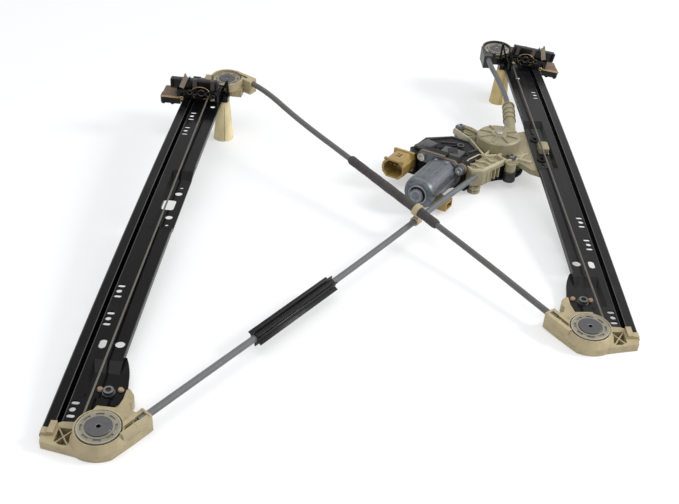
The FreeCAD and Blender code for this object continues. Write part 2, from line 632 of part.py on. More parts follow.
def rail_screw():
    floor = -PAD_DEPTH
    flange = rod(0, 0, floor + 0.02, floor + 1.4, SCREW_HEAD)
    head = Part.makeCone(4.6, 4.2, 3.0, V(0, 0, floor + 1.4))
    socket = rod(0, 0, floor + 2.6, floor + 6, 2.4)
    shank = rod(0, 0, floor - SHEET - 3.4, floor + 0.02, SCREW_RADIUS)
    return joined(flange, head, shank).cut(socket)


def rail_peg():
    floor = -PAD_DEPTH
    return joined(rod(0, 0, floor - SHEET - 2.6, floor + 0.02, PEG_RADIUS),
                  spun([(0, floor + 0.02), (2.7, floor + 0.02), (2.7, floor + 0.9), (2.0, floor + 2.0), (0, floor + 2.0)]))


def rail_rivet():
    floor = -PAD_DEPTH
    body = joined(rod(0, 0, floor - SHEET - 5.0, floor + 0.02, RIVET_HOLE_RADIUS - 0.1),
                  rod(0, 0, floor + 0.02, floor + 1.1, 5.4))
    return body.cut(rod(0, 0, floor - 3, floor + 3, 2.0))


# Drive frame: x along the worm axis away from the motor's nose, y to its left
def on_drive(shape):
    placed = shape.copy()
    placed.rotate(V(0, 0, 0), V(0, 0, 1), MOTOR_ANGLE)
    turn = math.radians(MOTOR_ANGLE)
    placed.translate(V(DRUM_X - WORM_OFFSET * math.sin(turn), DRUM_Y + WORM_OFFSET * math.cos(turn), 0))
    return placed


WORM_LINE = 22.0
NOSE_TIP = -140.0
CAN_FRONT = -135.0
CAN_BACK = -78.0
FLANGE_BACK = -76.0
HOUSING_START = -72.0
CAN_RADIUS = 17.5
CAN_HALF_HEIGHT = 15.5
MOTOR_SCREWS = ((25.0, 34.0), (-20.2, 31.0))
LID_SPLIT = 26.0
LID_TOP = 34.0
WHEEL_RADIUS = 25.6
WHEEL_LOW = 18.2
WHEEL_TOP = 25.4
WORM_RADIUS = 4.3
WORM_HALF = 19.0
WORM_TURNS = 6


def along_drive(points):
    """Solid of revolution about the worm axis from (place, radius) points."""
    wire = Part.makePolygon([V(x, 0, r) for x, r in points] + [V(points[0][0], 0, points[0][1])])
    solid = Part.Face(wire).revolve(V(0, 0, 0), V(1, 0, 0), 360)
    solid.translate(V(0, 0, WORM_LINE))
    return solid


def motor_can():
    body = along_drive([(NOSE_TIP, 0), (NOSE_TIP, 6.4), (NOSE_TIP + 1, 7.4), (CAN_FRONT - 0.5, 7.4), (CAN_FRONT, 9.5),
                        (CAN_FRONT, 13.5), (CAN_FRONT + 1.6, 16.2), (CAN_FRONT + 4.6, CAN_RADIUS),
                        (CAN_BACK, CAN_RADIUS), (CAN_BACK, 0)])
    body = body.common(box(-200, 0, -40, 40, WORM_LINE - CAN_HALF_HEIGHT, WORM_LINE + CAN_HALF_HEIGHT))
    plate = flange_plate(CAN_BACK - 0.1, FLANGE_BACK, 0.0)
    return joined(body, plate)


def flange_plate(x0, x1, grow, drilled=True):
    """Mounting plate across the back of the can with an ear for each screw."""
    disc = rod_along((x0, 0, WORM_LINE), (1, 0, 0), x1 - x0, CAN_RADIUS + 2 + grow)
    disc = disc.common(box(x0, x1, -40, 40, WORM_LINE - CAN_HALF_HEIGHT - grow, WORM_LINE + CAN_HALF_HEIGHT + grow))
    ears = []
    for y, z in MOTOR_SCREWS:
        ear = rod_along((x0, y, z), (1, 0, 0), x1 - x0, 5.6 + grow)
        ears.append(ear)
    bridge = box(x0, x1, 0, MOTOR_SCREWS[0][0], MOTOR_SCREWS[0][1] - 5.6 - grow, MOTOR_SCREWS[0][1] + 5.6 + grow)
    body = joined(disc, bridge, *ears)
    for y, z in MOTOR_SCREWS if drilled else ():
        body = body.cut(rod_along((x0 - 1, y, z), (1, 0, 0), x1 - x0 + 2, 2.05))
    return body


def motor_screw(y, z):
    head = rod_along((CAN_BACK - 2.6, y, z), (1, 0, 0), 2.48, 4.2)
    shank = rod_along((CAN_BACK - 0.12, y, z), (1, 0, 0), 15, 2.0)
    return joined(head, shank).cut(rod_along((CAN_BACK - 3, y, z), (1, 0, 0), 1.6, 1.5))


GEAR_OUTLINE = [(HOUSING_START, -24), (-58, -27), (-36, -31), (-25, -46), ((0, -WORM_OFFSET - 29.5), (25, -46)),
                ((29.5, -WORM_OFFSET), (24, -13)), (26, -8), (26, 8), (18, 12), (-12, 12), (-13.6, 19.6),
                (-34.1, 42.5), (-62.4, 44.2), (-66, 55), (-76, 55), (-76, 31.5), (HOUSING_START, 31.5)]
GEAR_LOW = 8.0
SKIRT_LOW = 5.0
PIN_FOOT = 9.5


def gear_shell():
    """Outside of the black gear housing, with its skirt and motor flange."""
    body = prism(GEAR_OUTLINE, GEAR_LOW, LID_SPLIT)
    skirt = prism([(HOUSING_START, -26), (-50, -31), (-27, -47), ((0, -WORM_OFFSET - 32), (27, -47)),
                   ((32, -WORM_OFFSET), (27, -11)), (28, 10), (-40, 12), (-60, 16), (HOUSING_START, 20)],
                  SKIRT_LOW, GEAR_LOW)
    nose = flange_plate(HOUSING_START, HOUSING_START + 9, 0.2, False).common(box(-100, 0, -60, 60, 0, LID_SPLIT))
    return joined(body, skirt, nose)


def gear_housing():
    body = gear_shell()
    well = rod(0, -WORM_OFFSET, WHEEL_LOW - 1.2, 60, WHEEL_RADIUS + 1.2)
    tunnel = rod_along((HOUSING_START - 2, 0, WORM_LINE), (1, 0, 0), 24 - HOUSING_START, WORM_RADIUS + 1.5)
    pin = rod(0, -WORM_OFFSET, PIN_FOOT, 60, SHAFT_RADIUS + 0.02)
    body = without(body, well, tunnel, pin)
    for y, z in MOTOR_SCREWS:
        body = body.cut(rod_along((HOUSING_START - 1, y, z), (1, 0, 0), 14, 2.05))
    body = on_drive(body)
    for x, y, z in DRUM_BOLTS:
        body = body.cut(rod(x, y, 0, 60, 2.55))
    return body.cut(rod(FOOT_AT[0], FOOT_AT[1], 0, 60, 7.3))


def lid_shell():
    outline = [(HOUSING_START, -21.5), (-59.4, -24.5), (-35, -27.5), (-15.5, -3.8), (-14.6, 19.0), (-34.6, 41.2),
               (-62.0, 43.0), (-66, 45), (-76, 37), (-76, 31.5), (HOUSING_START, 31.5)]
    body = prism(outline, LID_SPLIT + 0.02, LID_TOP)
    nose = flange_plate(HOUSING_START, HOUSING_START + 9, 0.2, False).common(box(-100, 0, -60, 60, LID_SPLIT + 0.02, 60))
    return joined(body, nose)


def gear_lid():
    """Cover over the worm drive and the electronics, with a field of cooling ribs."""
    body = lid_shell()
    for index in range(6):
        groove = box(-13, 13, -12.4 + index * 4.4, -9.8 + index * 4.4, LID_TOP - 1.6, LID_TOP + 1)
        groove.rotate(V(0, 0, 0), V(0, 0, 1), -43)
        groove.translate(V(-48.0, 1.4, 0))
        body = body.cut(groove)
    body = body.cut(rod_along((HOUSING_START - 2, 0, WORM_LINE), (1, 0, 0), 24 - HOUSING_START, WORM_RADIUS + 1.5))
    for y, z in MOTOR_SCREWS:
        body = body.cut(rod_along((HOUSING_START - 1, y, z), (1, 0, 0), 14, 2.05))
    return on_drive(body)


def connector_shell():
    """Octagonal plug socket on the side of the electronics box."""
    y0, y1, z0, z1, cut = 33.0, 58.5, 12.5, 34.0, 5.4

    def ring(inset, x0, x1):
        pts = [(y0 + inset + cut, z0 + inset), (y1 - inset - cut, z0 + inset), (y1 - inset, z0 + inset + cut),
               (y1 - inset, z1 - inset - cut), (y1 - inset - cut, z1 - inset), (y0 + inset + cut, z1 - inset),
               (y0 + inset, z1 - inset - cut), (y0 + inset, z0 + inset + cut)]
        face = Part.Face(Part.makePolygon([V(x0, y, z) for y, z in pts + pts[:1]]))
        return face.extrude(V(x1 - x0, 0, 0))

    body = ring(0, -104, -76.02).cut(ring(1.8, -106, -86))
    blades = [box(-94, -85.5, 38.6 + 4.6 * i, 40.2 + 4.6 * i, 22.4, 23.8) for i in range(4)]
    return joined(body, *blades)


def lower_connector():
    body = box(-123, -107, -28, -9, 4.5, 14)
    body = body.cut(box(-121.5, -108.5, -30, -20, 6.0, 12.5))
    can = rod_along((-150, 0, WORM_LINE), (1, 0, 0), 80, CAN_RADIUS)
    return body.cut(can.common(box(-160, -60, -40, 40, WORM_LINE - CAN_HALF_HEIGHT, 60)))


def worm_shaft():
    begin, waist = FLANGE_BACK + 0.05, WORM_RADIUS - 1.1
    profile = [(begin, 0), (begin, waist), (-WORM_HALF - 1, waist)]
    pitch = 2 * WORM_HALF / WORM_TURNS
    for index in range(WORM_TURNS):
        x = -WORM_HALF + index * pitch
        profile += [(x, WORM_RADIUS), (x + pitch * 0.5, WORM_RADIUS - 1.4)]
    profile += [(WORM_HALF, WORM_RADIUS), (WORM_HALF + 1, waist), (WORM_HALF + 2, waist), (WORM_HALF + 2, 0)]
    return along_drive(profile)


def worm_wheel():
    """Toothed wheel under the drum, worked out about the origin."""
    count = 36
    root = WHEEL_RADIUS - 1.6
    points = []
    for index in range(count):
        for part, radius in ((0.0, root), (0.28, WHEEL_RADIUS - 0.6), (0.5, WHEEL_RADIUS - 0.6), (0.78, root)):
            angle = 2 * math.pi * (index + part) / count
            points.append((radius * math.cos(angle), radius * math.sin(angle)))
    body = prism(points, WHEEL_LOW, WHEEL_TOP)
    body = body.cut(spun([(7, WHEEL_TOP - 2.4), (11.6, WHEEL_TOP - 2.4), (11.6, WHEEL_TOP + 1), (7, WHEEL_TOP + 1)]))
    return body.cut(rod(0, 0, 0, 60, SHAFT_RADIUS + RUNNING_GAP))


def cable_drum():
    """Grooved drum that winds one run while it pays out the other."""
    low, top = DRUM_BASE, DRUM_TOP
    profile = [(SHAFT_RADIUS + RUNNING_GAP, low), (DRUM_RIM, low), (DRUM_RIM, low + 1.4)]
    pitch = (top - low - 3.4) / DRUM_TURNS
    for index in range(DRUM_TURNS):
        z = low + 2.2 + index * pitch
        profile += [(DRUM_GROOVE + 0.6, z), (DRUM_GROOVE - 0.9, z + pitch / 2)]
    profile += [(DRUM_GROOVE + 0.6, top - 1.2)]
    profile += [(DRUM_RIM, top - 0.4), (DRUM_RIM, top), (SHAFT_RADIUS + RUNNING_GAP, top)]
    body = spun(profile)
    hub = spun([(SHAFT_RADIUS + RUNNING_GAP, WHEEL_TOP + 0.02), (9, WHEEL_TOP + 0.02), (9, low + 0.5),
                (SHAFT_RADIUS + RUNNING_GAP, low + 0.5)])
    return joined(body, hub)


def drum_pin():
    return spun([(0, PIN_FOOT + 0.02), (SHAFT_RADIUS, PIN_FOOT + 0.02), (SHAFT_RADIUS, DOME_TOP + 0.6), (SHAFT_RADIUS - 0.8, DOME_TOP + 1.6),
                 (0, DOME_TOP + 1.6)], DRUM_X, DRUM_Y)


# Conduit routes on the bench between their sockets
ROUTE_UPPER = ((-76.5, 461.0, 54.0), (-17.5, 397.0, 44.0), (109.0, 258.3, 21.0))
ROUTE_LOWER = ((-14.0, 233.0, 14.8), (86.0, 373.5, 22.0))
ROUTE_SHORT = ((156.4, 620.0, 48.0),)
FOAM_SPAN = (0.055, 0.66)
FOAM_RADIUS = 4.75
FOAM_BORE = 3.7
FIN_START = 92.0
FIN_LENGTH = 112.0
FIN_COUNT = 6
FIN_TIP = 8.2
FIN_CORE = 4.6
FIN_THICK = 1.8
FIN_BORE = 3.45
BLOCK_HOLE = (116.6, 413.2, 25.0)
TUBE_FOOT = (161.6, 498.0, 32.2)
TUBE_MOUTH = (165.2, 566.0, 37.2)
FOOT_AT = (156.4, 440.0)
FOOT_TOP = 19.5
FOOT_TALL = 12.0
DRUM_BOLTS = ((105.9, 510.6, 33.0), (157.6, 448.6, 30.6))


def unit(start, end):
    step = V(*end) - V(*start)
    return step.normalize()


def drum_housing():
    """Ribbed cover over the drum with its tube, block, arms and foot."""
    inner = DRUM_RIM + 1.0
    ceiling = DRUM_TOP + 1.0
    dome = spun([(inner, LID_SPLIT + 0.4), (CASE_RADIUS, LID_SPLIT + 0.4), (CASE_RADIUS, 43.4), (CASE_RADIUS - 1.6, 45.0),
                 (9.4, 45.6), (8.2, DOME_TOP), (SHAFT_RADIUS + 0.02, DOME_TOP),
                 (SHAFT_RADIUS + 0.02, ceiling), (inner, ceiling)], DRUM_X, DRUM_Y)
    body = dome
    ribs = []
    for index in range(8):
        rib = Part.Face(Part.makePolygon([V(8.5, -0.8, 45), V(21.8, -0.8, 43.5), V(21.8, -0.8, 46.2), V(8.5, -0.8, 46.8),
                                          V(8.5, -0.8, 45)])).extrude(V(0, 1.6, 0))
        rib.rotate(V(0, 0, 0), V(0, 0, 1), 22.5 + 45.0 * index)
        rib.translate(V(DRUM_X, DRUM_Y, 0))
        ribs.append(rib)
    flange = prism([(100.5, 504), ((101.0, 517), (112, 516)), (130, 502), ((136, 505.5), (146, 506)), (158, 502),
                    (172, 488), (178, 470), (170, 452), ((165, 441), (152, 442)), (122, 446), (112, 462), (108, 486)],
                   LID_SPLIT + 0.4, 29.4)
    arm_rib = turned_box((106, 510.6), (0.735, -0.678), -1.1, 1.1, 5, 34, 29, 36.5)
    arm_rib2 = turned_box((109, 497), (0.86, -0.5), -1.1, 1.1, 0, 18, 29, 34)
    boss = rod(DRUM_BOLTS[0][0], DRUM_BOLTS[0][1], 12, DRUM_BOLTS[0][2], 6.4)
    boss2 = rod(DRUM_BOLTS[1][0], DRUM_BOLTS[1][1], 22, DRUM_BOLTS[1][2], 6.0)
    block = prism([(103, 421), (111, 409.5), (124, 412), (149, 438), (143, 452), (121, 455), (108, 438)], 27.0, 31.0)
    block_low = prism([(106, 419), (111, 409.5), (124, 412), (134, 422), (126, 436), (112, 432)], 14.5, 31.0)
    ribs_low = []
    for index in range(4):
        ribs_low.append(turned_box((127, 418.5), (0.70, 0.714), -5.5, 3, index * 6.4, index * 6.4 + 1.6, 15.5, 28.0))
    web = turned_box((127, 418.5), (0.70, 0.714), -6.4, -4.8, -2, 24, 14.5, 29.0)
    post = joined(rod(117.5, 424, 0, 15, 6.0), rod(117.5, 424, 0, 3, 6.9), rod(117.5, 424, 6, 9, 6.9))
    socket = rod(FOOT_AT[0], FOOT_AT[1], FOOT_TOP + 0.02, 29, 6.0)
    foot_dir = unit(TUBE_FOOT, TUBE_MOUTH)
    length = (V(*TUBE_MOUTH) - V(*TUBE_FOOT)).Length
    tube = rod_along(TUBE_FOOT, foot_dir, length, 6.2)
    rings = [rod_along(V(*TUBE_FOOT) + foot_dir * d, foot_dir, 2.0, 7.4) for d in (34, 44, 54, length - 3)]
    arm = prism([(20, -16), (4, -38), (-12, -47), (-21, -42), (-21.5, 40), (-12, 44), (4, 38), (16, 34)],
                -PAD_DEPTH - SHEET - 6.4, -PAD_DEPTH - SHEET - 0.04)
    peg = softened(box(PEG_HOLE[0] - 5.4, PEG_HOLE[0] + 5.4, -8.2, 8.2, -PAD_DEPTH - SHEET - 2, 1.6), 2.6)
    seat = on_bench(at_pad(joined(arm, peg), 0, PEG_HOLE[1], MOTOR_PAD), "right")
    body = joined(body, *ribs)
    body = joined(body, flange, arm_rib, arm_rib2, boss, boss2, block, block_low, web, *ribs_low)
    body = joined(body, post, socket, tube, seat, *rings)
    body = body.cut(rod(DRUM_X, DRUM_Y, 10, ceiling, inner))
    body = body.cut(on_drive(gear_shell()))
    body = body.cut(on_drive(lid_shell()))
    body = body.cut(rod_along(V(*TUBE_MOUTH) - foot_dir * 12, foot_dir, 40, CONDUIT_RADIUS + SOCKET_GAP))
    body = body.cut(rod_along(V(*TUBE_FOOT) - foot_dir * 30, foot_dir, 100, 1.6))
    block_dir = unit(ROUTE_LOWER[-1], BLOCK_HOLE)
    body = body.cut(rod_along(V(*BLOCK_HOLE) - block_dir * 30, block_dir, 39, CONDUIT_RADIUS + SOCKET_GAP))
    body = body.cut(rod_along(V(*BLOCK_HOLE) - block_dir * 3, block_dir, 45, 1.6))
    for x, y, z in DRUM_BOLTS:
        body = body.cut(rod(x, y, 0, 60, 2.55))
    for across, along in RIVET_HOLES:
        bore = rod(0, 0, -18, 0, RIVET_HOLE_RADIUS - 0.05)
        body = body.cut(on_bench(at_pad(bore, across, along, MOTOR_PAD), "right"))
    return body


def drum_bolt(x, y, z):
    head = Part.makeCylinder(4.6, 1.2, V(x, y, z + 0.02))
    drive = Part.makeCone(3.4, 3.0, 2.4, V(x, y, z + 1.2))
    shank = Part.makeCylinder(2.5, z - 10, V(x, y, 10.02))
    return joined(head, drive, shank)


def housing_foot():
    """Soft buffer under the drum housing's lower corner."""
    x, y = FOOT_AT
    low = FOOT_TOP - FOOT_TALL
    body = spun([(0, low), (6.4, low), (7.0, low + 1.2), (7.0, low + 4), (6.2, low + 5), (6.2, FOOT_TOP - 3),
                 (7.0, FOOT_TOP - 2), (7.0, FOOT_TOP), (0, FOOT_TOP)], x, y)
    bolt = DRUM_BOLTS[1]
    return body.cut(rod(bolt[0], bolt[1], 0, 60, 2.6))


def tube_wire(points):
    """Straight runs joined by the largest tangent arcs that the runs allow."""
    nodes = [V(*point) for point in points]
    edges = []
    here = nodes[0]
    radii = []
    for before, corner, after in zip(nodes, nodes[1:], nodes[2:]):
        towards = (corner - before).normalize()
        away = (after - corner).normalize()
        turn = towards.getAngle(away)
        reach = 0.45 * min((corner - before).Length, (after - corner).Length)
        radii.append(round(reach / math.tan(turn / 2)))
        start = corner - towards * reach
        end = corner + away * reach
        inward = (away - towards).normalize()
        radius = reach / math.tan(turn / 2)
        middle = corner + inward * (radius / math.cos(turn / 2) - radius)
        edges.append(Part.LineSegment(here, start).toShape())
        edges.append(Part.Arc(start, middle, end).toShape())
        here = end
    edges.append(Part.LineSegment(here, nodes[-1]).toShape())
    print("radii", radii)
    return Part.Wire(edges)


def swept(wire, radius):
    """Round cord along straight runs and arcs: a rod on each run and a turned ring on each arc."""
    pieces = []
    for edge in wire.OrderedEdges:
        start = edge.valueAt(edge.FirstParameter)
        heading = edge.tangentAt(edge.FirstParameter)
        if edge.Curve.TypeId == "Part::GeomLine":
            pieces.append(Part.makeCylinder(radius, edge.Length, start, heading))
        else:
            circle = edge.Curve
            turn = math.degrees(edge.LastParameter - edge.FirstParameter)
            disc = Part.Face(Part.Wire([Part.makeCircle(radius, start, heading)]))
            pieces.append(disc.revolve(circle.Center, circle.Axis, turn))
    body = pieces[0].multiFuse(pieces[1:]).Solids[0]
    print("cord length", round(wire.Length, 1), "volume over section times length",
          round(body.Volume / (math.pi * radius ** 2 * wire.Length), 5))
    return body


def tube(points, radius):
    return swept(tube_wire(points), radius)


def socket_end(side, where):
    """Bench place of the conduit's end inside a pulley housing's socket."""
    if where == "low":
        start, direction = cable_line(GROOVE_LOW, CONDUIT_TURN_LOW)
        reach = SLEEVE_END - CONDUIT_SOCKET
    else:
        start, direction = top_exit(side)
        reach = TOP_SLEEVE[side] - CONDUIT_SOCKET
    return bench_point(side, start[0] + direction[0] * reach, start[1] + direction[1] * reach, CABLE_HEIGHT)


def mouth(side, where, out):
    """Point on the conduit's axis a little way outside its socket."""
    if where == "low":
        start, direction = cable_line(GROOVE_LOW, CONDUIT_TURN_LOW)
        reach = SLEEVE_END + out
    else:
        start, direction = top_exit(side)
        reach = TOP_SLEEVE[side] + out
    return tuple(bench_point(side, start[0] + direction[0] * reach, start[1] + direction[1] * reach, CABLE_HEIGHT))


def upper_points():
    return (tuple(socket_end("left", "top")), mouth("left", "top", 14)) + ROUTE_UPPER + (
        mouth("right", "low", 22), tuple(socket_end("right", "low")))


def lower_points():
    end = V(*BLOCK_HOLE) + unit(ROUTE_LOWER[-1], BLOCK_HOLE) * CONDUIT_SOCKET
    return (tuple(socket_end("left", "low")), mouth("left", "low", 26)) + ROUTE_LOWER + (tuple(end),)


def short_points():
    start = V(*TUBE_MOUTH) - unit(TUBE_FOOT, TUBE_MOUTH) * 12
    lead = V(*TUBE_MOUTH) + unit(TUBE_FOOT, TUBE_MOUTH) * 12
    return (tuple(start), tuple(lead)) + ROUTE_SHORT + (mouth("right", "top", 14), tuple(socket_end("right", "top")))


def foam_sleeve():
    start, end = V(*ROUTE_UPPER[1]), V(*ROUTE_UPPER[2])
    step = end - start
    first = start + step * FOAM_SPAN[0]
    length = step.Length * (FOAM_SPAN[1] - FOAM_SPAN[0])
    direction = unit(ROUTE_UPPER[1], ROUTE_UPPER[2])
    return rod_along(first, direction, length, FOAM_RADIUS).cut(rod_along(first, direction, length, FOAM_BORE))


def finned_sleeve():
    """Extruded rubber sleeve whose fins run lengthwise, slipped over the lower conduit."""
    begin = lower_points()[1]
    direction = unit(begin, ROUTE_LOWER[0])
    start = V(*begin) + direction * FIN_START
    body = rod(0, 0, 0, FIN_LENGTH, FIN_CORE)
    for index in range(FIN_COUNT):
        fin = box(0, FIN_TIP, -FIN_THICK / 2, FIN_THICK / 2, 0, FIN_LENGTH)
        fin.rotate(V(0, 0, 0), V(0, 0, 1), 360.0 * index / FIN_COUNT)
        body = body.fuse(fin)
    body = body.removeSplitter().cut(rod(0, 0, -1, FIN_LENGTH + 1, FIN_BORE))
    body.Placement = FreeCAD.Placement(start, FreeCAD.Rotation(V(0, 0, 1), direction))
    return body


def crossing_clip():
    """Two rings back to back that hold the crossing conduits apart."""
    upper_dir = unit(ROUTE_UPPER[1], ROUTE_UPPER[2])
    lower_dir = unit(ROUTE_LOWER[0], ROUTE_LOWER[1])
    start = V(*ROUTE_UPPER[1])
    lower_start = V(*ROUTE_LOWER[0])
    gap = start - lower_start
    flat = upper_dir.x * lower_dir.y - upper_dir.y * lower_dir.x
    along = (gap.x * upper_dir.y - gap.y * upper_dir.x) / -flat
    low = lower_start + lower_dir * along
    high = start + upper_dir * ((low.x - start.x) / upper_dir.x)
    ring_high = rod_along(high - upper_dir * 5, upper_dir, 10, FOAM_RADIUS + 1.9)
    ring_low = rod_along(low - lower_dir * 6, lower_dir, 12, CONDUIT_RADIUS + 2.2)
    bridge = turned_box((low.x, low.y), (lower_dir.x, lower_dir.y), -2.6, 2.6, -3.4, 3.4, low.z + 2.6, high.z - 5)
    body = joined(ring_high, ring_low, bridge)
    body = body.cut(rod_along(high - upper_dir * 8, upper_dir, 16, FOAM_RADIUS + 0.05))
    return body.cut(rod_along(low - lower_dir * 8, lower_dir, 16, CONDUIT_RADIUS + 0.12))


def cable_run(side):
    """Bare cable over both pulleys of one rail, from conduit to conduit."""
    cu, cs = TOP_PULLEY[side]
    low_start, low_dir = cable_line(GROOVE_LOW, CONDUIT_TURN_LOW)
    reach = SLEEVE_END - CONDUIT_SOCKET
    top_start, top_dir = top_exit(side)
    top_reach = TOP_SLEEVE[side] - CONDUIT_SOCKET
    step = V(cu, cs, 0)
    lean = math.asin((GROOVE_LOW - GROOVE_TOP) / step.Length)
    heading = math.atan2(cu, cs) + lean
    left = V(-math.cos(heading), math.sin(heading), 0)
    low_touch = left * GROOVE_LOW
    top_touch = step + left * GROOVE_TOP
    first_angle = -math.radians(CONDUIT_TURN_LOW)
    last_angle = -(math.pi + heading)
    middle_angle = (first_angle + last_angle) / 2
    low_mid = V(math.cos(middle_angle), math.sin(middle_angle), 0) * GROOVE_LOW
    leave = math.pi / 2 - (math.radians(TOP_TURN[side]) - math.pi / 2)
    arrive = math.pi - heading
    top_angle = (leave + arrive) / 2
    top_mid = step + V(math.cos(top_angle), math.sin(top_angle), 0) * GROOVE_TOP
    begin = V(low_start[0] + low_dir[0] * reach, low_start[1] + low_dir[1] * reach, 0)
    end = V(top_start[0] + top_dir[0] * top_reach, top_start[1] + top_dir[1] * top_reach, 0)
    low_leave = V(low_start[0], low_start[1], 0)
    top_leave = V(top_start[0], top_start[1], 0)
    wire = Part.Wire([Part.LineSegment(begin, low_leave).toShape(), Part.Arc(low_leave, low_mid, low_touch).toShape(),
                      Part.LineSegment(low_touch, top_touch).toShape(),
                      Part.Arc(top_touch, top_mid, top_leave).toShape(), Part.LineSegment(top_leave, end).toShape()])
    body = swept(wire, CABLE_RADIUS)
    body.translate(V(0, 0, CABLE_HEIGHT))
    return body


def above_bench(shape):
    return shape.cut(box(-400, 400, -300, 900, -60, 0))


def at_pulley(shape, place):
    placed = shape.copy()
    placed.translate(V(place[0], place[1], 0))
    return placed


for side in SIDES:
    save(on_bench(rail(side), side), "rail_" + side)
    save(above_bench(on_bench(low_pulley_housing(), side)), "pulley_housing_bottom_" + side)
    save(on_bench(top_pulley_housing(side), side), "pulley_housing_top_" + side)
    save(on_bench(pulley(GROOVE_LOW), side), "pulley_bottom_" + side)
    save(on_bench(pulley_axle(HEAD_LOW, -3.0), side), "pulley_axle_bottom_" + side)
    save(on_bench(at_pulley(pulley(GROOVE_TOP), TOP_PULLEY[side]), side), "pulley_top_" + side)
    save(on_bench(at_pulley(pulley_axle(HEAD_TOP, 0.6), TOP_PULLEY[side]), side), "pulley_axle_top_" + side)
    at = CARRIER_AT[side]
    save(on_bench(on_web(slider(side), at), side), "carrier_" + side)
    save(on_bench(on_web(clamp_base(side), at), side), "clamp_base_" + side)
    save(on_bench(on_web(clamp_jaw(side), at), side), "clamp_jaw_" + side)
    save(on_bench(on_web(glass_pads(side), at), side), "glass_pads_" + side)
    save(on_bench(on_web(clamp_clip(side), at), side), "clamp_clip_" + side)
    save(on_bench(on_web(clamp_springs(side), at), side), "clamp_springs_" + side)
    save(on_bench(on_web(clamp_screw(side), at), side), "clamp_screw_" + side)
    save(on_bench(on_web(cable_nipple(side), at), side), "cable_nipple_" + side)
    save(on_bench(on_web(end_bracket(side), BRACKET_AT[side]), side), "end_bracket_" + side)
    save(rail_post(side), "rail_post_" + side)
    save(on_bench(cable_run(side), side), "cable_run_" + side)

screws = [on_bench(at_pad(rail_screw(), *SCREW_AT, SCREW_PAD), side) for side in SIDES]
pegs = [on_bench(at_pad(rail_peg(), *place, SCREW_PAD), side) for side in SIDES for place in PEGS_AT]
rivets = [on_bench(at_pad(rail_rivet(), *place, MOTOR_PAD), "right") for place in RIVET_HOLES]
save(Part.makeCompound(screws), "rail_screws")
save(Part.makeCompound(pegs), "rail_pegs")
save(Part.makeCompound(rivets), "motor_rivets")
save(drum_housing(), "drum_housing")
save(at_pulley(cable_drum(), (DRUM_X, DRUM_Y)), "cable_drum")
save(at_pulley(worm_wheel(), (DRUM_X, DRUM_Y)), "worm_wheel")
save(drum_pin(), "drum_pin")
save(Part.makeCompound([drum_bolt(*bolt) for bolt in DRUM_BOLTS]), "drum_bolts")
save(gear_housing(), "gear_housing")
save(gear_lid(), "gear_lid")
save(on_drive(connector_shell()), "connector_shell")
save(on_drive(lower_connector()), "lower_connector")
save(on_drive(motor_can()), "motor_can")
gasket = flange_plate(FLANGE_BACK, HOUSING_START, 0.6)
gasket = gasket.cut(rod_along((FLANGE_BACK - 1, 0, WORM_LINE), (1, 0, 0), 8, 3.5))
save(on_drive(gasket), "motor_gasket")
save(on_drive(Part.makeCompound([motor_screw(y, z) for y, z in MOTOR_SCREWS])), "motor_screws")
save(on_drive(worm_shaft()), "worm_shaft")
save(housing_foot(), "housing_foot")
save(tube(upper_points(), CONDUIT_RADIUS), "conduit_upper")
save(tube(lower_points(), CONDUIT_RADIUS), "conduit_lower")
save(tube(short_points(), CONDUIT_RADIUS), "conduit_short")
save(foam_sleeve(), "foam_sleeve")
save(finned_sleeve(), "finned_sleeve")
save(crossing_clip(), "crossing_clip")

# The pieces go out with the middle of the regulator's footprint at the origin and its feet on z = 0
LOOSE = ("conduit_upper", "conduit_lower", "conduit_short", "foam_sleeve", "finned_sleeve", "crossing_clip")
whole = Part.makeCompound([shape for name, shape in made.items() if name not in LOOSE])
frame = whole.optimalBoundingBox(False)
shift = V(-frame.Center.x, -frame.Center.y, -frame.ZMin)
for name, shape in made.items():
    shape.translate(shift)
    shape.exportStep("parts/" + name + ".step")
print("shift", round(shift.x, 4), round(shift.y, 4), round(shift.z, 4))
print("size", round(frame.XLength, 2), round(frame.YLength, 2), round(frame.ZLength, 2))
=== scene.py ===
# Dressed window regulator: finishes, sheathed cables and fine pieces round the solid parts
import math
from functools import cached_property

import bpy
from mathutils import Matrix, Vector


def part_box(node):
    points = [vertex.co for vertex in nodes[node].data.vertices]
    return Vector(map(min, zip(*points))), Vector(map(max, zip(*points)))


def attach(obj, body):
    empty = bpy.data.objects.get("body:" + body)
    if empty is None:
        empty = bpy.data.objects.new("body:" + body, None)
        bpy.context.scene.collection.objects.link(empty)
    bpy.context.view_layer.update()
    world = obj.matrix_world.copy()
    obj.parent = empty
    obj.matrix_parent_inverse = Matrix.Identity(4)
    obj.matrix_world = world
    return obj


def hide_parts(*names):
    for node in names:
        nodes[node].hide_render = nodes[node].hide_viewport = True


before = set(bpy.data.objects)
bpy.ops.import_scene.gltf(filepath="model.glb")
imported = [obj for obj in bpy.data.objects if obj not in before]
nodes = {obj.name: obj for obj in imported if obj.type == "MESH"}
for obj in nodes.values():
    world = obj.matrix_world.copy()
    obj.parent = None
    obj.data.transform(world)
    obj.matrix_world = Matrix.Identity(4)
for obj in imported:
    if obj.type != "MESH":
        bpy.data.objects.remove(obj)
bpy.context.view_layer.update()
FIXED = "rails_and_drive"
SIDES = ("left", "right")
MM = 0.001

# The bench frame of the part, in millimetres, differs from the model's own by one shift along Y
DRUM_AXIS_Y = 475.0
pin_low, pin_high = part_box("drum_pin")
BENCH_SHIFT = (pin_low.y + pin_high.y) / 2 - DRUM_AXIS_Y * MM

# Camera solved from the photograph, on the bench, with its angles in degrees
CAMERA_PLACE = (-31.9, -621.4, 587.9)
CAMERA_YAW = 0.46
CAMERA_PITCH = 32.93
CAMERA_ROLL = 3.71
CAMERA_LENS = 58.32
CAMERA_SENSOR = 36.0


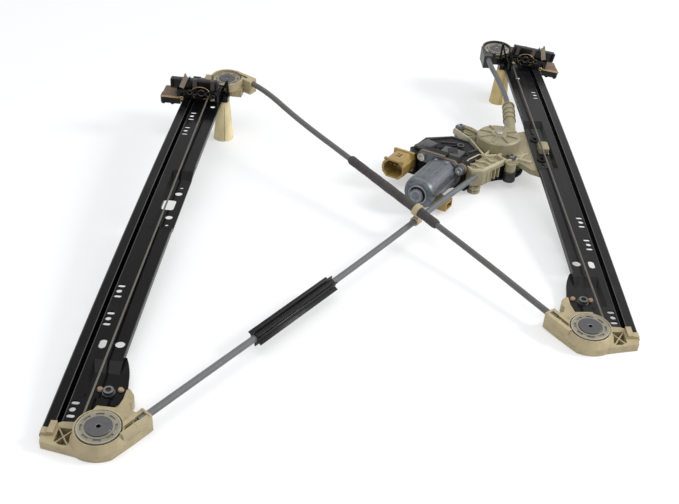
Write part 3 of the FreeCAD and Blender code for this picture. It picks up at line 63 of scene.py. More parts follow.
def from_bench(x, y, z):
    return Vector((x * MM, y * MM + BENCH_SHIFT, z * MM))


def pick(*pieces):
    """Select these pieces alone, or none, and make the first one active."""
    if bpy.context.mode != "OBJECT":
        bpy.ops.object.mode_set(mode="OBJECT")
    bpy.ops.object.select_all(action="DESELECT")
    for piece in pieces:
        piece.select_set(True)
    if pieces:
        bpy.context.view_layer.objects.active = pieces[0]


class Value:
    """A socket of a graph, so that sums on it read as sums."""

    def __init__(self, graph, socket):
        self.graph = graph
        self.socket = socket

    def __add__(self, other):
        return self.graph.maths("ADD", self, other)

    def __radd__(self, other):
        return self.graph.maths("ADD", other, self)

    def __sub__(self, other):
        return self.graph.maths("SUBTRACT", self, other)

    def __rsub__(self, other):
        return self.graph.maths("SUBTRACT", other, self)

    def __mul__(self, other):
        return self.graph.maths("MULTIPLY", self, other)

    def __rmul__(self, other):
        return self.graph.maths("MULTIPLY", other, self)


# Sockets of the mix node when it mixes colours
MIX_FIRST = 6
MIX_SECOND = 7
MIX_RESULT = 2


class Graph:
    """The nodes of one material or world, and the few moves that they need."""

    def __init__(self, holder):
        holder.use_nodes = True
        self.holder = holder
        self.tree = holder.node_tree
        self.tree.nodes.clear()

    @cached_property
    def place(self):
        return self.node("ShaderNodeTexCoord", out="Object")

    def node(self, kind, settings=None, *inputs, out=0, at=None, **named):
        """Add a node; its inputs go by order, by number in at, or by name with _ for a space."""
        made = self.tree.nodes.new(kind)
        for key, value in (settings or {}).items():
            setattr(made, key, value)
        for index, value in enumerate(inputs):
            self.feed(made.inputs[index], value)
        for index, value in (at or {}).items():
            self.feed(made.inputs[index], value)
        for key, value in named.items():
            self.feed(made.inputs[key.replace("_", " ")], value)
        return Value(self, made.outputs[out]) if len(made.outputs) else None

    def feed(self, socket, value):
        if isinstance(value, Value):
            self.tree.links.new(value.socket, socket)
        elif socket.type == "RGBA":
            socket.default_value = (*value, 1)
        else:
            socket.default_value = value

    def maths(self, operation, first, second):
        return self.node("ShaderNodeMath", {"operation": operation}, first, second)

    def noise(self, scale, detail=3.0, rough=0.55, stretch=None):
        place = self.place
        if stretch:
            place = self.node("ShaderNodeMapping", None, place, Scale=stretch)
        return self.node("ShaderNodeTexNoise", None, Vector=place, Scale=scale, Detail=detail,
                         Roughness=rough)

    def ramp(self, value, low, high):
        """From 0 to 1 between two levels of a value."""
        return self.node("ShaderNodeMapRange", {"clamp": True}, value, low, high, 0.0, 1.0)

    def blend(self, amount, first, second):
        return self.node("ShaderNodeMix", {"data_type": "RGBA"}, amount, out=MIX_RESULT,
                         at={MIX_FIRST: first, MIX_SECOND: second})

    def bump(self, height, strength, distance):
        return self.node("ShaderNodeBump", None, Height=height, Strength=strength, Distance=distance)

    def shader(self, colour, roughness, metallic=0.0, normal=None, highlight=0.5):
        bumped = {"Normal": normal} if normal else {}
        return self.node("ShaderNodeBsdfPrincipled", None, Base_Color=colour, Roughness=roughness,
                         Metallic=metallic, Specular_IOR_Level=highlight, **bumped)

    def surface(self, *look, **more):
        """End the graph in one shader and give its material."""
        self.node("ShaderNodeOutputMaterial", None, self.shader(*look, **more))
        return self.holder


# Fineness of the patterns in the finishes, in repeats a metre
MOTTLE = 38.0
GRIME_PATCHES = 95.0
GRAIN = 420.0
PORES = 1500.0
RUB_MARKS = 26.0
STREAKS = 60.0
DUST_SPECKS = 900.0
PAINT_WAVES = 260.0
STAINS = 150.0
SCRATCHES = 900.0
SKIN_SHADES = 60.0
ALONG_RAIL = (1.0, 0.10, 1.0)
SHADED = 0.74


def moulded(name, colour, grime, grime_share, shine, grain=1.0):
    """Moulded plastic with a fine grain, uneven shade and grime in patches."""
    graph = Graph(bpy.data.materials.new(name))
    wide = graph.noise(MOTTLE, detail=4.0)
    fine = graph.noise(GRAIN)
    patches = graph.ramp(graph.noise(GRIME_PATCHES, detail=5.0, rough=0.65), 0.50, 0.72)
    darker = tuple(channel * SHADED for channel in colour)
    shade = graph.blend(graph.ramp(wide, 0.35, 0.68), darker, colour)
    dirt = patches * grime_share + graph.ramp(fine, 0.55, 0.8) * (grime_share * 0.35)
    shade = graph.blend(dirt, shade, grime)
    rough = graph.ramp(wide, 0.2, 0.8) * 0.16 + (shine - 0.05)
    normal = graph.bump(graph.noise(PORES, detail=2.0) * 0.5 + fine, strength=0.20 * grain, distance=0.0004)
    return graph.surface(shade, rough, normal=normal)


def painted(name, colour, dust, shine, scuff, highlight):
    """Thin stove paint on sheet metal: glossy with dust, rub marks and long handling streaks."""
    graph = Graph(bpy.data.materials.new(name))
    streaks = graph.noise(STREAKS, detail=4.0, rough=0.6, stretch=ALONG_RAIL)
    specks = graph.ramp(graph.noise(DUST_SPECKS, detail=2.0), 0.66, 0.76)
    rubbed = graph.ramp(graph.noise(RUB_MARKS, detail=6.0, rough=0.7), 0.52, 0.74)
    worn = rubbed * (scuff * 0.5) + graph.ramp(streaks, 0.55, 0.75) * (scuff * 0.35)
    shade = graph.blend(worn, colour, dust)
    shade = graph.blend(specks * (scuff * 0.5), shade, dust)
    rough = rubbed * 0.16 + graph.ramp(streaks, 0.4, 0.8) * 0.12 + shine
    normal = graph.bump(graph.noise(PAINT_WAVES), strength=0.10, distance=0.0005)
    return graph.surface(shade, rough, normal=normal, highlight=highlight)


def metal(name, colour, dull, shine, stain, scratch=(1.0, 1.0, 1.0)):
    """Bare or plated metal with stains and fine scratches."""
    graph = Graph(bpy.data.materials.new(name))
    stained = graph.ramp(graph.noise(STAINS, detail=5.0, rough=0.65), 0.46, 0.72)
    fine = graph.noise(SCRATCHES, rough=0.6, stretch=scratch)
    shade = graph.blend(stained * stain, colour, dull)
    rough = stained * 0.22 + graph.ramp(fine, 0.3, 0.8) * 0.14 + shine
    normal = graph.bump(fine, strength=0.16, distance=0.0003)
    return graph.surface(shade, rough, metallic=1.0 - stained * (stain * 0.6), normal=normal)


def wound(name, colour, groove, turns, shine, depth=0.0004):
    """Coiled or ribbed skin whose turns run round a cable."""
    graph = Graph(bpy.data.materials.new(name))
    waves = graph.node("ShaderNodeTexWave", {"wave_type": "BANDS", "bands_direction": "DIAGONAL"},
                       Vector=graph.place, Scale=turns, Distortion=1.2, Detail=1.0, out="Fac")
    wide = graph.noise(SKIN_SHADES, detail=4.0)
    shade = graph.blend(graph.ramp(waves, 0.25, 0.7), groove, colour)
    shade = graph.blend(graph.ramp(wide, 0.45, 0.75) * 0.4, shade, groove)
    rough = graph.ramp(wide, 0.3, 0.8) * 0.2 + shine
    normal = graph.bump(waves, strength=0.35, distance=depth)
    return graph.surface(shade, rough, normal=normal)


# Colour, grime's colour and share, roughness, depth of the grain
MOULDED = {
    "cream": ((0.42, 0.345, 0.20), (0.19, 0.13, 0.065), 0.34, 0.38),
    # Next row: the housing's khaki made lighter for its ribs and post, as painted light on their tops
    "khaki light": ((0.50, 0.45, 0.30), (0.17, 0.14, 0.085), 0.28, 0.42),
    "khaki": ((0.30, 0.26, 0.155), (0.12, 0.095, 0.055), 0.34, 0.44),
    "dark housing": ((0.030, 0.029, 0.030), (0.12, 0.115, 0.11), 0.30, 0.38),
    "pulley": ((0.27, 0.245, 0.19), (0.12, 0.105, 0.08), 0.35, 0.38),
    # Next row: the pulley's colour made lighter for its raised rims, as a painted highlight
    "pulley light": ((0.42, 0.385, 0.30), (0.20, 0.17, 0.12), 0.3, 0.36),
    "soft brown": ((0.16, 0.10, 0.06), (0.34, 0.26, 0.19), 0.35, 0.60, 2.0),
    "strap": ((0.30, 0.25, 0.18), (0.11, 0.09, 0.07), 0.40, 0.50),
    "post": ((0.78, 0.66, 0.38), (0.46, 0.35, 0.17), 0.22, 0.60),
    "post amber": ((0.64, 0.49, 0.22), (0.38, 0.26, 0.10), 0.25, 0.58),
    "post seam": ((0.34, 0.265, 0.13), (0.16, 0.12, 0.05), 0.4, 0.7),
    # Next row: the black lid plastic made grey for its plates and ribs, as painted light on their faces
    "lid grey": ((0.052, 0.052, 0.055), (0.012, 0.012, 0.012), 0.40, 0.42, 1.5),
    "amber": ((0.36, 0.235, 0.065), (0.20, 0.12, 0.035), 0.26, 0.34),
    # Next row: near black for the insides of slots and recesses, a painted shade
    "dark hole": ((0.006, 0.006, 0.006), (0.02, 0.02, 0.02), 0.2, 0.7),
    "gasket": ((0.15, 0.10, 0.065), (0.05, 0.04, 0.035), 0.5, 0.62, 2.0),
    "plain rubber": ((0.016, 0.016, 0.016), (0.08, 0.08, 0.08), 0.30, 0.5, 1.4),
}
# Colour, dust's colour, roughness, share of scuffs, strength of the highlight
PAINTED = {
    "rail black": ((0.0025, 0.0025, 0.003), (0.04, 0.04, 0.042), 0.15, 0.26, 0.13),
    # Next row: the same black paint made greyer for the right rail, a painted sheen
    "rail grey black": ((0.007, 0.007, 0.0078), (0.06, 0.06, 0.063), 0.22, 0.36, 0.20),
    # Next row: the rail paint made lighter for the rolled bends, a painted highlight
    "rail edge": ((0.020, 0.020, 0.022), (0.11, 0.11, 0.115), 0.14, 0.35, 0.9),
    "clamp black": ((0.004, 0.004, 0.004), (0.045, 0.042, 0.038), 0.22, 0.28, 0.20),
    "gear black": ((0.004, 0.004, 0.0043), (0.035, 0.035, 0.035), 0.40, 0.30, 0.16),
    "fin rubber": ((0.003, 0.003, 0.0033), (0.05, 0.05, 0.052), 0.25, 0.28, 0.26),
}
# Colour, stain's colour, roughness, share of stains, stretch of the scratches
METALS = {
    "motor": ((0.155, 0.168, 0.185), (0.055, 0.06, 0.068), 0.33, 0.75, (1.0, 1.0, 0.2)),
    # Next row: near black for the ring round the motor's nose, a painted shade
    "nose shade": ((0.035, 0.038, 0.045), (0.015, 0.016, 0.018), 0.45, 0.5),
    # Next row: the motor's metal made lighter for its rings and folds, a painted highlight
    "motor light": ((0.27, 0.285, 0.31), (0.12, 0.125, 0.14), 0.32, 0.45),
    "brass wire": ((0.42, 0.30, 0.15), (0.16, 0.11, 0.06), 0.30, 0.45),
    "slate": ((0.115, 0.115, 0.12), (0.055, 0.055, 0.06), 0.40, 0.45),
    "screw steel": ((0.17, 0.17, 0.17), (0.07, 0.065, 0.06), 0.34, 0.45),
    "steel": ((0.36, 0.36, 0.36), (0.14, 0.13, 0.12), 0.32, 0.4),
    "bright steel": ((0.72, 0.72, 0.73), (0.38, 0.38, 0.38), 0.20, 0.25),
    "bronze": ((0.38, 0.26, 0.17), (0.18, 0.12, 0.075), 0.38, 0.4),
    "spring steel": ((0.13, 0.115, 0.10), (0.05, 0.045, 0.04), 0.38, 0.5),
}
# Colour, groove's colour, turns' fineness, roughness, depth of the grooves in metres
WOUND = {
    "cable": ((0.15, 0.13, 0.10), (0.05, 0.045, 0.035), 900.0, 0.34, 0.0002),
    "sheath": ((0.125, 0.125, 0.118), (0.050, 0.050, 0.047), 420.0, 0.34),
    "light sheath": ((0.150, 0.158, 0.158), (0.062, 0.066, 0.066), 420.0, 0.32),
    "foam": ((0.075, 0.068, 0.064), (0.020, 0.018, 0.018), 700.0, 0.75, 0.0008),
}
MAKERS = ((moulded, MOULDED), (painted, PAINTED), (metal, METALS), (wound, WOUND))
finish = {name: make(name, *row) for make, rows in MAKERS for name, row in rows.items()}

WEARS = {
    # The right rail's paint is the left's black made greyer, a painted sheen
    "rail_left": "rail black", "rail_right": "rail grey black",
    "pulley_housing_bottom_left": "cream", "pulley_housing_bottom_right": "cream",
    "pulley_housing_top_left": "cream", "pulley_housing_top_right": "dark housing",
    "rail_post_left": "post", "rail_post_right": "post amber",
    "rail_screws": "screw steel", "rail_pegs": "bronze", "motor_rivets": "gear black",
    "drum_housing": "khaki", "cable_drum": "pulley", "worm_wheel": "cream", "drum_pin": "steel",
    "drum_bolts": "steel", "gear_housing": "gear black", "gear_lid": "gear black",
    "connector_shell": "amber", "lower_connector": "amber", "motor_can": "motor",
    "motor_gasket": "gasket", "motor_screws": "bright steel", "worm_shaft": "steel",
    "housing_foot": "plain rubber", "crossing_clip": "cream",
}
PAIR_WEARS = {
    "pulley_bottom": "pulley", "pulley_top": "pulley", "pulley_axle_bottom": "slate",
    "pulley_axle_top": "slate", "carrier": "clamp black", "clamp_base": "clamp black",
    "clamp_jaw": "clamp black", "glass_pads": "soft brown", "clamp_clip": "strap",
    "clamp_springs": "spring steel", "clamp_screw": "spring steel", "cable_nipple": "steel",
    "end_bracket": "clamp black", "cable_run": "cable",
}
for part, look in PAIR_WEARS.items():
    for side in SIDES:
        WEARS[part + "_" + side] = look


def dress(thing, look):
    thing.data.materials.clear()
    thing.data.materials.append(finish[look])


for part, look in WEARS.items():
    dress(nodes[part], look)

# Sheathed cables, each a smooth line through the same points as the solid route
SHEATH_RADIUS = 3.05
UPPER_ROUTE = ((-140.9, 540.5, 60.5), (-121.9, 527.6, 59.4), (-76.5, 461.0, 54.0), (-17.5, 397.0, 44.0),
               (109.0, 258.3, 21.0), (152.5, 200.4, 16.2), (171.7, 176.1, 14.1))
LOWER_ROUTE = ((-171.7, 10.1, 14.1), (-150.1, 37.5, 16.5), (-14.0, 233.0, 14.8), (86.0, 373.5, 22.0),
               (122.1, 420.3, 25.5))
SHORT_ROUTE = ((164.6, 554.0, 36.3), (165.8, 578.0, 38.1), (156.4, 620.0, 48.0), (148.1, 644.5, 55.1),
               (146.4, 667.3, 57.1))
ROUND_STEPS = 6
LINE_STEPS = 24


def sheathed_cable(name, points, look, node):
    """Curve whose control points are the route of a cable."""
    data = bpy.data.curves.new(name, "CURVE")
    data.dimensions = "3D"
    data.bevel_depth = SHEATH_RADIUS * MM
    data.bevel_resolution = ROUND_STEPS
    data.resolution_u = LINE_STEPS
    data.use_fill_caps = True
    spline = data.splines.new("NURBS")
    spline.points.add(len(points) - 1)
    for spot, point in zip(spline.points, points):
        spot.co = (*from_bench(*point), 1)
    spline.order_u = 3
    spline.use_endpoint_u = True
    piece = bpy.data.objects.new(name, data)
    bpy.context.scene.collection.objects.link(piece)
    data.materials.append(finish[look])
    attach(piece, FIXED)
    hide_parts(node)
    return piece


upper = sheathed_cable("sheath_upper", UPPER_ROUTE, "sheath", "conduit_upper")
lower = sheathed_cable("sheath_lower", LOWER_ROUTE, "light sheath", "conduit_lower")
short = sheathed_cable("sheath_short", SHORT_ROUTE, "light sheath", "conduit_short")


def line_of(cord):
    """Points along a cable's smooth line."""
    bare = cord.copy()
    bare.data = cord.data.copy()
    bare.data.bevel_depth = 0
    bare.data.use_fill_caps = False
    mesh = bpy.data.meshes.new_from_object(bare)
    points = [vertex.co.copy() for vertex in mesh.vertices]
    bpy.data.objects.remove(bare)
    bpy.data.meshes.remove(mesh)
    return points


def stretch_of(points, start, end):
    """The part of a line between two distances along it, in metres."""
    picked = []
    gone = 0.0
    for here, there in zip(points, points[1:]):
        step = (there - here).length
        if gone <= start < gone + step:
            picked.append(here.lerp(there, (start - gone) / step))
        if start < gone + step < end:
            picked.append(there.copy())
        if gone <= end < gone + step:
            picked.append(here.lerp(there, (end - gone) / step))
        gone += step
    return picked


SMOOTH_BELOW = 40


def smooth(piece, angle):
    pick(piece)
    bpy.ops.object.shade_smooth_by_angle(angle=math.radians(angle))


def tube_along(name, points, radii, look, angle):
    """Tube along a line, given its radius at each point, made a mesh."""
    data = bpy.data.curves.new(name, "CURVE")
    data.dimensions = "3D"
    data.bevel_depth = 1.0
    data.bevel_resolution = ROUND_STEPS
    data.use_fill_caps = True
    spline = data.splines.new("POLY")
    spline.points.add(len(points) - 1)
    for spot, point, radius in zip(spline.points, points, radii):
        spot.co = (*point, 1)
        spot.radius = radius
    piece = bpy.data.objects.new(name, data)
    bpy.context.scene.collection.objects.link(piece)
    pick(piece)
    bpy.ops.object.convert(target="MESH")
    dress(piece, look)
    smooth(piece, angle)
    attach(piece, FIXED)
    return piece


def along_at(points, target):
    """Distance along a line of its point nearest to a target."""
    best = None
    gone = 0.0
    for here, there in zip(points, points[1:]):
        step = there - here
        share = max(0.0, min(1.0, (target - here).dot(step) / step.length_squared))
        miss = (here + step * share - target).length
        if best is None or miss < best[0]:
            best = (miss, gone + step.length * share)
        gone += step.length
    return best[1]


def middle_of(points, distance, reach=0.002):
    """Point and direction at a distance along a line, from a short piece of it."""
    pair = stretch_of(points, distance - reach, distance + reach)
    return (pair[0] + pair[-1]) / 2, (pair[-1] - pair[0]).normalized()


def settle(piece):
    """Put a piece's place, turn and size into its mesh."""
    pick(piece)
    bpy.ops.object.transform_apply(location=True, rotation=True, scale=True)


def use_modifier(piece, kind, **settings):
    modifier = piece.modifiers.new(kind.lower(), kind)
    for key, value in settings.items():
        setattr(modifier, key, value)
    pick(piece)
    bpy.ops.object.modifier_apply(modifier=modifier.name)


def round_edges(piece, width, segments=2):
    use_modifier(piece, "BEVEL", width=width, segments=segments, limit_method="ANGLE")


def face_along(piece, direction, place, roll=0.0):
    """Turn a piece made along Z to lie along a direction, then set it in place."""
    turn = direction.to_track_quat("Z", "Y").to_matrix().to_4x4() @ Matrix.Rotation(roll, 4, "Z")
    piece.matrix_world = Matrix.Translation(place) @ turn
    settle(piece)


upper_line = line_of(upper)
lower_line = line_of(lower)

# Foam sleeve on the upper cable, cut square, with an uneven skin
FOAM_START = (-18.0, 397.5, 44.0)
FOAM_END = (69.4, 302.3, 27.0)
FOAM_RADIUS = 4.75
FOAM_END_CUT = 0.5
# How far the skin sways in and out, how fast along the sleeve, and from where
FOAM_SWAYS = ((0.12, 1.7, 0), (0.08, 0.61, 1))
foam_points = stretch_of(upper_line, along_at(upper_line, from_bench(*FOAM_START)),
                         along_at(upper_line, from_bench(*FOAM_END)))
foam_radii = []
for index in range(len(foam_points)):
    cut = FOAM_END_CUT if index in (0, len(foam_points) - 1) else 0.0
    sway = sum(reach * math.sin(index * pace + begin) for reach, pace, begin in FOAM_SWAYS)
    foam_radii.append((FOAM_RADIUS - cut + sway) * MM)
foam = tube_along("foam_wrap", foam_points, foam_radii, "foam", angle=50)
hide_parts("foam_sleeve")

# Rubber sleeve on the lower cable, with its fins drawn out of a many-sided tube
FIN_START = (-92.4, 119.2, 15.4)
FIN_LENGTH = 109.0
FIN_CORE = 4.7
FIN_RISE = 3.4
FIN_SIDES = 24
FIN_EVERY = 4
FIN_EDGE = 0.25
FIN_ROLL = 0.35
fin_from = along_at(lower_line, from_bench(*FIN_START))
fin_middle, fin_way = middle_of(lower_line, fin_from + FIN_LENGTH * MM / 2)
pick()
bpy.ops.mesh.primitive_cylinder_add(vertices=FIN_SIDES, radius=FIN_CORE * MM, depth=FIN_LENGTH * MM)
fins = bpy.context.object
fins.name = "finned_rubber"
bpy.ops.object.mode_set(mode="EDIT")
bpy.ops.mesh.select_all(action="DESELECT")
bpy.ops.object.mode_set(mode="OBJECT")
for polygon in fins.data.polygons:
    on_side = abs(polygon.normal.z) < 0.5
    if on_side:
        faced = math.atan2(polygon.normal.y, polygon.normal.x)
        polygon.select = round(faced / (2 * math.pi / FIN_SIDES) - 0.5) % FIN_EVERY == 0
bpy.ops.object.mode_set(mode="EDIT")
bpy.ops.mesh.select_mode(type="FACE")
bpy.ops.mesh.extrude_faces_move(TRANSFORM_OT_shrink_fatten={"value": FIN_RISE * MM})
bpy.ops.mesh.select_all(action="SELECT")
bpy.ops.object.mode_set(mode="OBJECT")
round_edges(fins, FIN_EDGE * MM)
face_along(fins, fin_way, fin_middle, FIN_ROLL)
smooth(fins, SMOOTH_BELOW)
dress(fins, "fin rubber")
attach(fins, FIXED)
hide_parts("finned_sleeve")

# Clip of two rings where the cables cross
CROSSING = (51.0, 322.0, 30.0)
RING_WALL = 1.7
RING_EDGE = 0.4
RING_GAP = 0.1
RING_SIDES = 40
HIGH_RING_DEPTH = 6.5
LOW_RING_DEPTH = 8.0


def clip_ring(name, line, inside, depth):
    place, way = middle_of(line, along_at(line, from_bench(*CROSSING)))
    pick()
    bpy.ops.mesh.primitive_cylinder_add(vertices=RING_SIDES, radius=(inside + RING_GAP) * MM,
                                        depth=depth * MM, end_fill_type="NOTHING")
    ring = bpy.context.object
    ring.name = name
    use_modifier(ring, "SOLIDIFY", thickness=RING_WALL * MM, offset=1.0)
    round_edges(ring, RING_EDGE * MM)
    face_along(ring, way, place)
    smooth(ring, 35)
    dress(ring, "cream")
    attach(ring, FIXED)
    return ring


clip_high = clip_ring("crossing_ring_high", upper_line, FOAM_RADIUS, HIGH_RING_DEPTH)
clip_low = clip_ring("crossing_ring_low", lower_line, SHEATH_RADIUS, LOW_RING_DEPTH)
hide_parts("crossing_clip")

# Frames of the rails, clamps and drive, in which their fine pieces are sized in millimetres
RAIL_SPREAD = 400.0
RAIL_STAGGER = 166.0
RAIL_LEAN = 4.15
RAIL_TILT = 5.0
BASE_LIFT = 5.2
RAIL_RADIUS = 6650.0
RAIL_MIDDLE = 270.0
DRUM_AXIS_X = 144.5
WORM_OFFSET = 30.5
DRIVE_TURN = math.radians(61.4)
CLAMP_AT = {"left": 513.0, "right": 493.0}
CLAMP_ROLL = {"left": 0.0, "right": 10.5}
CLAMP_PIVOT = (-46.8, 0.0, 10.0)
RAIL_END = {"left": 556.0, "right": 534.0}

BENCH = Matrix.Translation((0, BENCH_SHIFT, 0)) @ Matrix.Scale(MM, 4)
WORM_PLACE = (DRUM_AXIS_X - WORM_OFFSET * math.sin(DRIVE_TURN),
              DRUM_AXIS_Y + WORM_OFFSET * math.cos(DRIVE_TURN), 0)
DRIVE = BENCH @ Matrix.Translation(WORM_PLACE) @ Matrix.Rotation(DRIVE_TURN, 4, "Z")


def rail_frame(side):
    """Across the rail, along it and up from its foot, mirrored for the right rail."""
    sign = -1 if side == "left" else 1
    shift = 0 if side == "left" else RAIL_STAGGER
    frame_of = BENCH @ Matrix.Translation((sign * RAIL_SPREAD / 2, shift, BASE_LIFT))
    frame_of = frame_of @ Matrix.Rotation(math.radians(RAIL_TILT), 4, "X")
    frame_of = frame_of @ Matrix.Rotation(math.radians(sign * RAIL_LEAN), 4, "Z")
    return frame_of @ Matrix.Scale(-1, 4, (1, 0, 0)) if side == "right" else frame_of


def web_height(along):
    rise = math.sqrt(RAIL_RADIUS ** 2 - (along - RAIL_MIDDLE) ** 2)
    return rise - math.sqrt(RAIL_RADIUS ** 2 - RAIL_MIDDLE ** 2)


def clamp_frame(side):
    """Frame of a clamp on its rail, rolled about its own pivot."""
    along = CLAMP_AT[side]
    slope = math.asin((along - RAIL_MIDDLE) / RAIL_RADIUS)
    on_web = Matrix.Translation((0, along, web_height(along))) @ Matrix.Rotation(-slope, 4, "X")
    pivot = Matrix.Translation(CLAMP_PIVOT)
    tilt = pivot @ Matrix.Rotation(math.radians(-CLAMP_ROLL[side]), 4, "Y") @ pivot.inverted()
    return rail_frame(side) @ on_web @ tilt


def slab(x0, x1, y0, y1, z0, z1, turn=0.0, lean=0.0):
    """Block by its spans, turned in plan about its middle or leant about its own Y."""
    pick()
    bpy.ops.mesh.primitive_cube_add(size=1, location=((x0 + x1) / 2, (y0 + y1) / 2, (z0 + z1) / 2))
    block = bpy.context.object
    block.scale = (x1 - x0, y1 - y0, z1 - z0)
    block.rotation_euler = (0, math.radians(lean), math.radians(turn))
    settle(block)
    return block


def slabs(rows):
    return [slab(*row) for row in rows]


WALL_OVERRUN = 0.3


def wall(start, end, width, low, high):
    """Upright wall between two points in plan, a share of its width longer at each end."""
    run = Vector(end) - Vector(start)
    middle = (Vector(start) + Vector(end)) / 2
    half = run.length / 2 + width * WALL_OVERRUN
    return slab(middle.x - half, middle.x + half, middle.y - width / 2, middle.y + width / 2, low, high,
                math.degrees(math.atan2(run.y, run.x)))


def walls(points, width, low, high):
    return [wall(start, end, width, low, high) for start, end in zip(points, points[1:])]


def disc(x, y, z, radius, depth, sides=36):
    pick()
    bpy.ops.mesh.primitive_cylinder_add(vertices=sides, radius=radius, depth=depth, location=(x, y, z))
    settle(bpy.context.object)
    return bpy.context.object


AXIS_TURN = {"Z": (0, 0, 0), "Y": (math.pi / 2, 0, 0), "X": (0, math.pi / 2, 0)}


def hoop(x, y, z, radius, thick, axis="Z", squeeze=1.0):
    pick()
    bpy.ops.mesh.primitive_torus_add(major_radius=radius, minor_radius=thick, major_segments=40,
                                     minor_segments=10, location=(x, y, z), rotation=AXIS_TURN[axis])
    made = bpy.context.object
    made.scale = (1, squeeze, 1)
    settle(made)
    return made


def gather(name, pieces, place, look, body, round_off=0.3, steps=2):
    """Join pieces made in one frame, round their edges and set them on the model."""
    pick(*pieces)
    if len(pieces) > 1:
        bpy.ops.object.join()
    whole = bpy.context.object
    whole.name = name
    if round_off:
        round_edges(whole, round_off, steps)
    whole.matrix_world = place
    settle(whole)
    bpy.ops.object.mode_set(mode="EDIT")
    bpy.ops.mesh.select_all(action="SELECT")
    bpy.ops.mesh.normals_make_consistent(inside=False)
    bpy.ops.object.mode_set(mode="OBJECT")
    smooth(whole, SMOOTH_BELOW)
    dress(whole, look)
    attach(whole, body)
    return whole


# Drum housing: walls and ribs that turn its arms, block and seat into open channels, drawn lighter than the
# housing as painted light on their tops
THICK_WALL = 2.0
BLOCK_WALL = 1.8
SEAT_WALL = 1.6
THIN_RIB = 1.2
ARM_FLOOR = 28.5
ARM_TOP = 35.0
BLOCK_FLOOR = 30.5
BLOCK_TOP = 34.2
BLOCK_RIB_TOP = BLOCK_TOP - 0.6
SEAT_TOP = 32.0
SEAT_RIB_TOP = 31.6
SEAT_CROSS_RIB = 1.3
SEAT_CROSS_TOP = 31.2
# Line in plan on the bench, width, top
ARM_WALLS = (
    (((99.5, 504.0), (102.5, 498.5), (115.0, 480.5), (120.5, 463.0), (126.0, 446.0)), THICK_WALL, ARM_TOP),
    (((109.5, 514.5), (118.0, 509.0), (124.0, 501.5)), THICK_WALL, ARM_TOP),
    (((109.0, 503.5), (121.0, 496.0)), THIN_RIB, ARM_TOP - 1),
    (((110.5, 489.0), (121.0, 488.0)), THIN_RIB, ARM_TOP - 1),
    (((127.0, 443.5), (134.0, 455.0)), THIN_RIB, ARM_TOP + 1),
    (((141.0, 447.5), (150.0, 455.0)), THICK_WALL, ARM_TOP - 1),
)
BLOCK_WALLS = (
    (((104.5, 421.5), (108.8, 432.0), (121.5, 446.0), (127.0, 444.5), (141.0, 448.0), (151.0, 437.0)),
     BLOCK_WALL, BLOCK_TOP),
    (((104.5, 421.5), (111.5, 411.0), (123.5, 413.0), (148.5, 438.0)), BLOCK_WALL, BLOCK_TOP),
    (((110.5, 424.8), (116.0, 424.0), (119.0, 418.5), (124.0, 417.0)), THIN_RIB, BLOCK_RIB_TOP),
    (((115.0, 435.0), (121.0, 431.0), (127.0, 431.0), (131.5, 424.5)), THIN_RIB, BLOCK_RIB_TOP),
    (((129.3, 441.0), (133.5, 434.0), (140.5, 433.0)), THIN_RIB, BLOCK_RIB_TOP),
)
SEAT_WALLS = (
    (((151.0, 441.0), (165.0, 446.5), (177.5, 440.5)), THICK_WALL, SEAT_TOP),
    (((164.0, 452.0), (177.0, 461.0)), SEAT_WALL, SEAT_RIB_TOP),
    (((166.5, 468.0), (177.5, 479.0)), SEAT_WALL, SEAT_RIB_TOP),
    (((165.0, 447.0), (172.5, 457.5), (167.5, 467.0)), SEAT_CROSS_RIB, SEAT_CROSS_TOP),
)


def on_housing(name, parts, round_off):
    gather(name, parts, BENCH, "khaki light", FIXED, round_off)


def ribbing(name, rows, floor, round_off):
    """Walls along lines in plan, from one floor up to each row's own top."""
    parts = [part for line, width, top in rows for part in walls(line, width, floor, top)]
    on_housing(name, parts, round_off)


ribbing("arm_ribs", ARM_WALLS, ARM_FLOOR, round_off=0.5)
ribbing("block_ribs", BLOCK_WALLS, BLOCK_FLOOR, round_off=0.4)
ribbing("seat_ribs", SEAT_WALLS, ARM_FLOOR, round_off=0.4)

# Post under the block: two collars and the flutes between them, drawn lighter than the housing as painted
# light
FOOT_X = 117.5
FOOT_Y = 424.0
FOOT_COLLARS = ((5.5, 7.1, 1.2), (12.5, 6.7, 1.0))
FLUTE_COUNT = 6
FLUTE_FROM = 15
FLUTE_REACH = 6.3
FLUTE_HALF = 0.6
FLUTE_SPAN = (0.2, 14.0)
foot_parts = [disc(FOOT_X, FOOT_Y, height, radius, depth) for height, radius, depth in FOOT_COLLARS]
for step in range(FLUTE_COUNT):
    degrees = step * 360 / FLUTE_COUNT + FLUTE_FROM
    x = FOOT_X + FLUTE_REACH * math.cos(math.radians(degrees))
    y = FOOT_Y + FLUTE_REACH * math.sin(math.radians(degrees))
    plan = (x - FLUTE_HALF, x + FLUTE_HALF, y - FLUTE_HALF, y + FLUTE_HALF)
    foot_parts.append(slab(*plan, *FLUTE_SPAN, degrees))
on_housing("post_ribs", foot_parts, round_off=0.25)

# Housing bolts: wide washer heads with their star recesses drawn as dark discs of painted shade, each by its
# lift, radius and depth
BOLTS = ((105.9, 510.6, 33.0), (157.6, 448.6, 30.6))
WASHER = (0.75, 6.1, 1.3)
RECESS_SHADE = (3.5, 2.0, 0.4)
STAR_SIDES = 6


def on_bolts(lift, radius, depth, sides=36):
    return [disc(x, y, seat + lift, radius, depth, sides) for x, y, seat in BOLTS]


gather("bolt_washers", on_bolts(*WASHER), BENCH, "slate", FIXED)
gather("bolt_recess_shade", on_bolts(*RECESS_SHADE, STAR_SIDES), BENCH, "dark hole", FIXED,
       round_off=0)
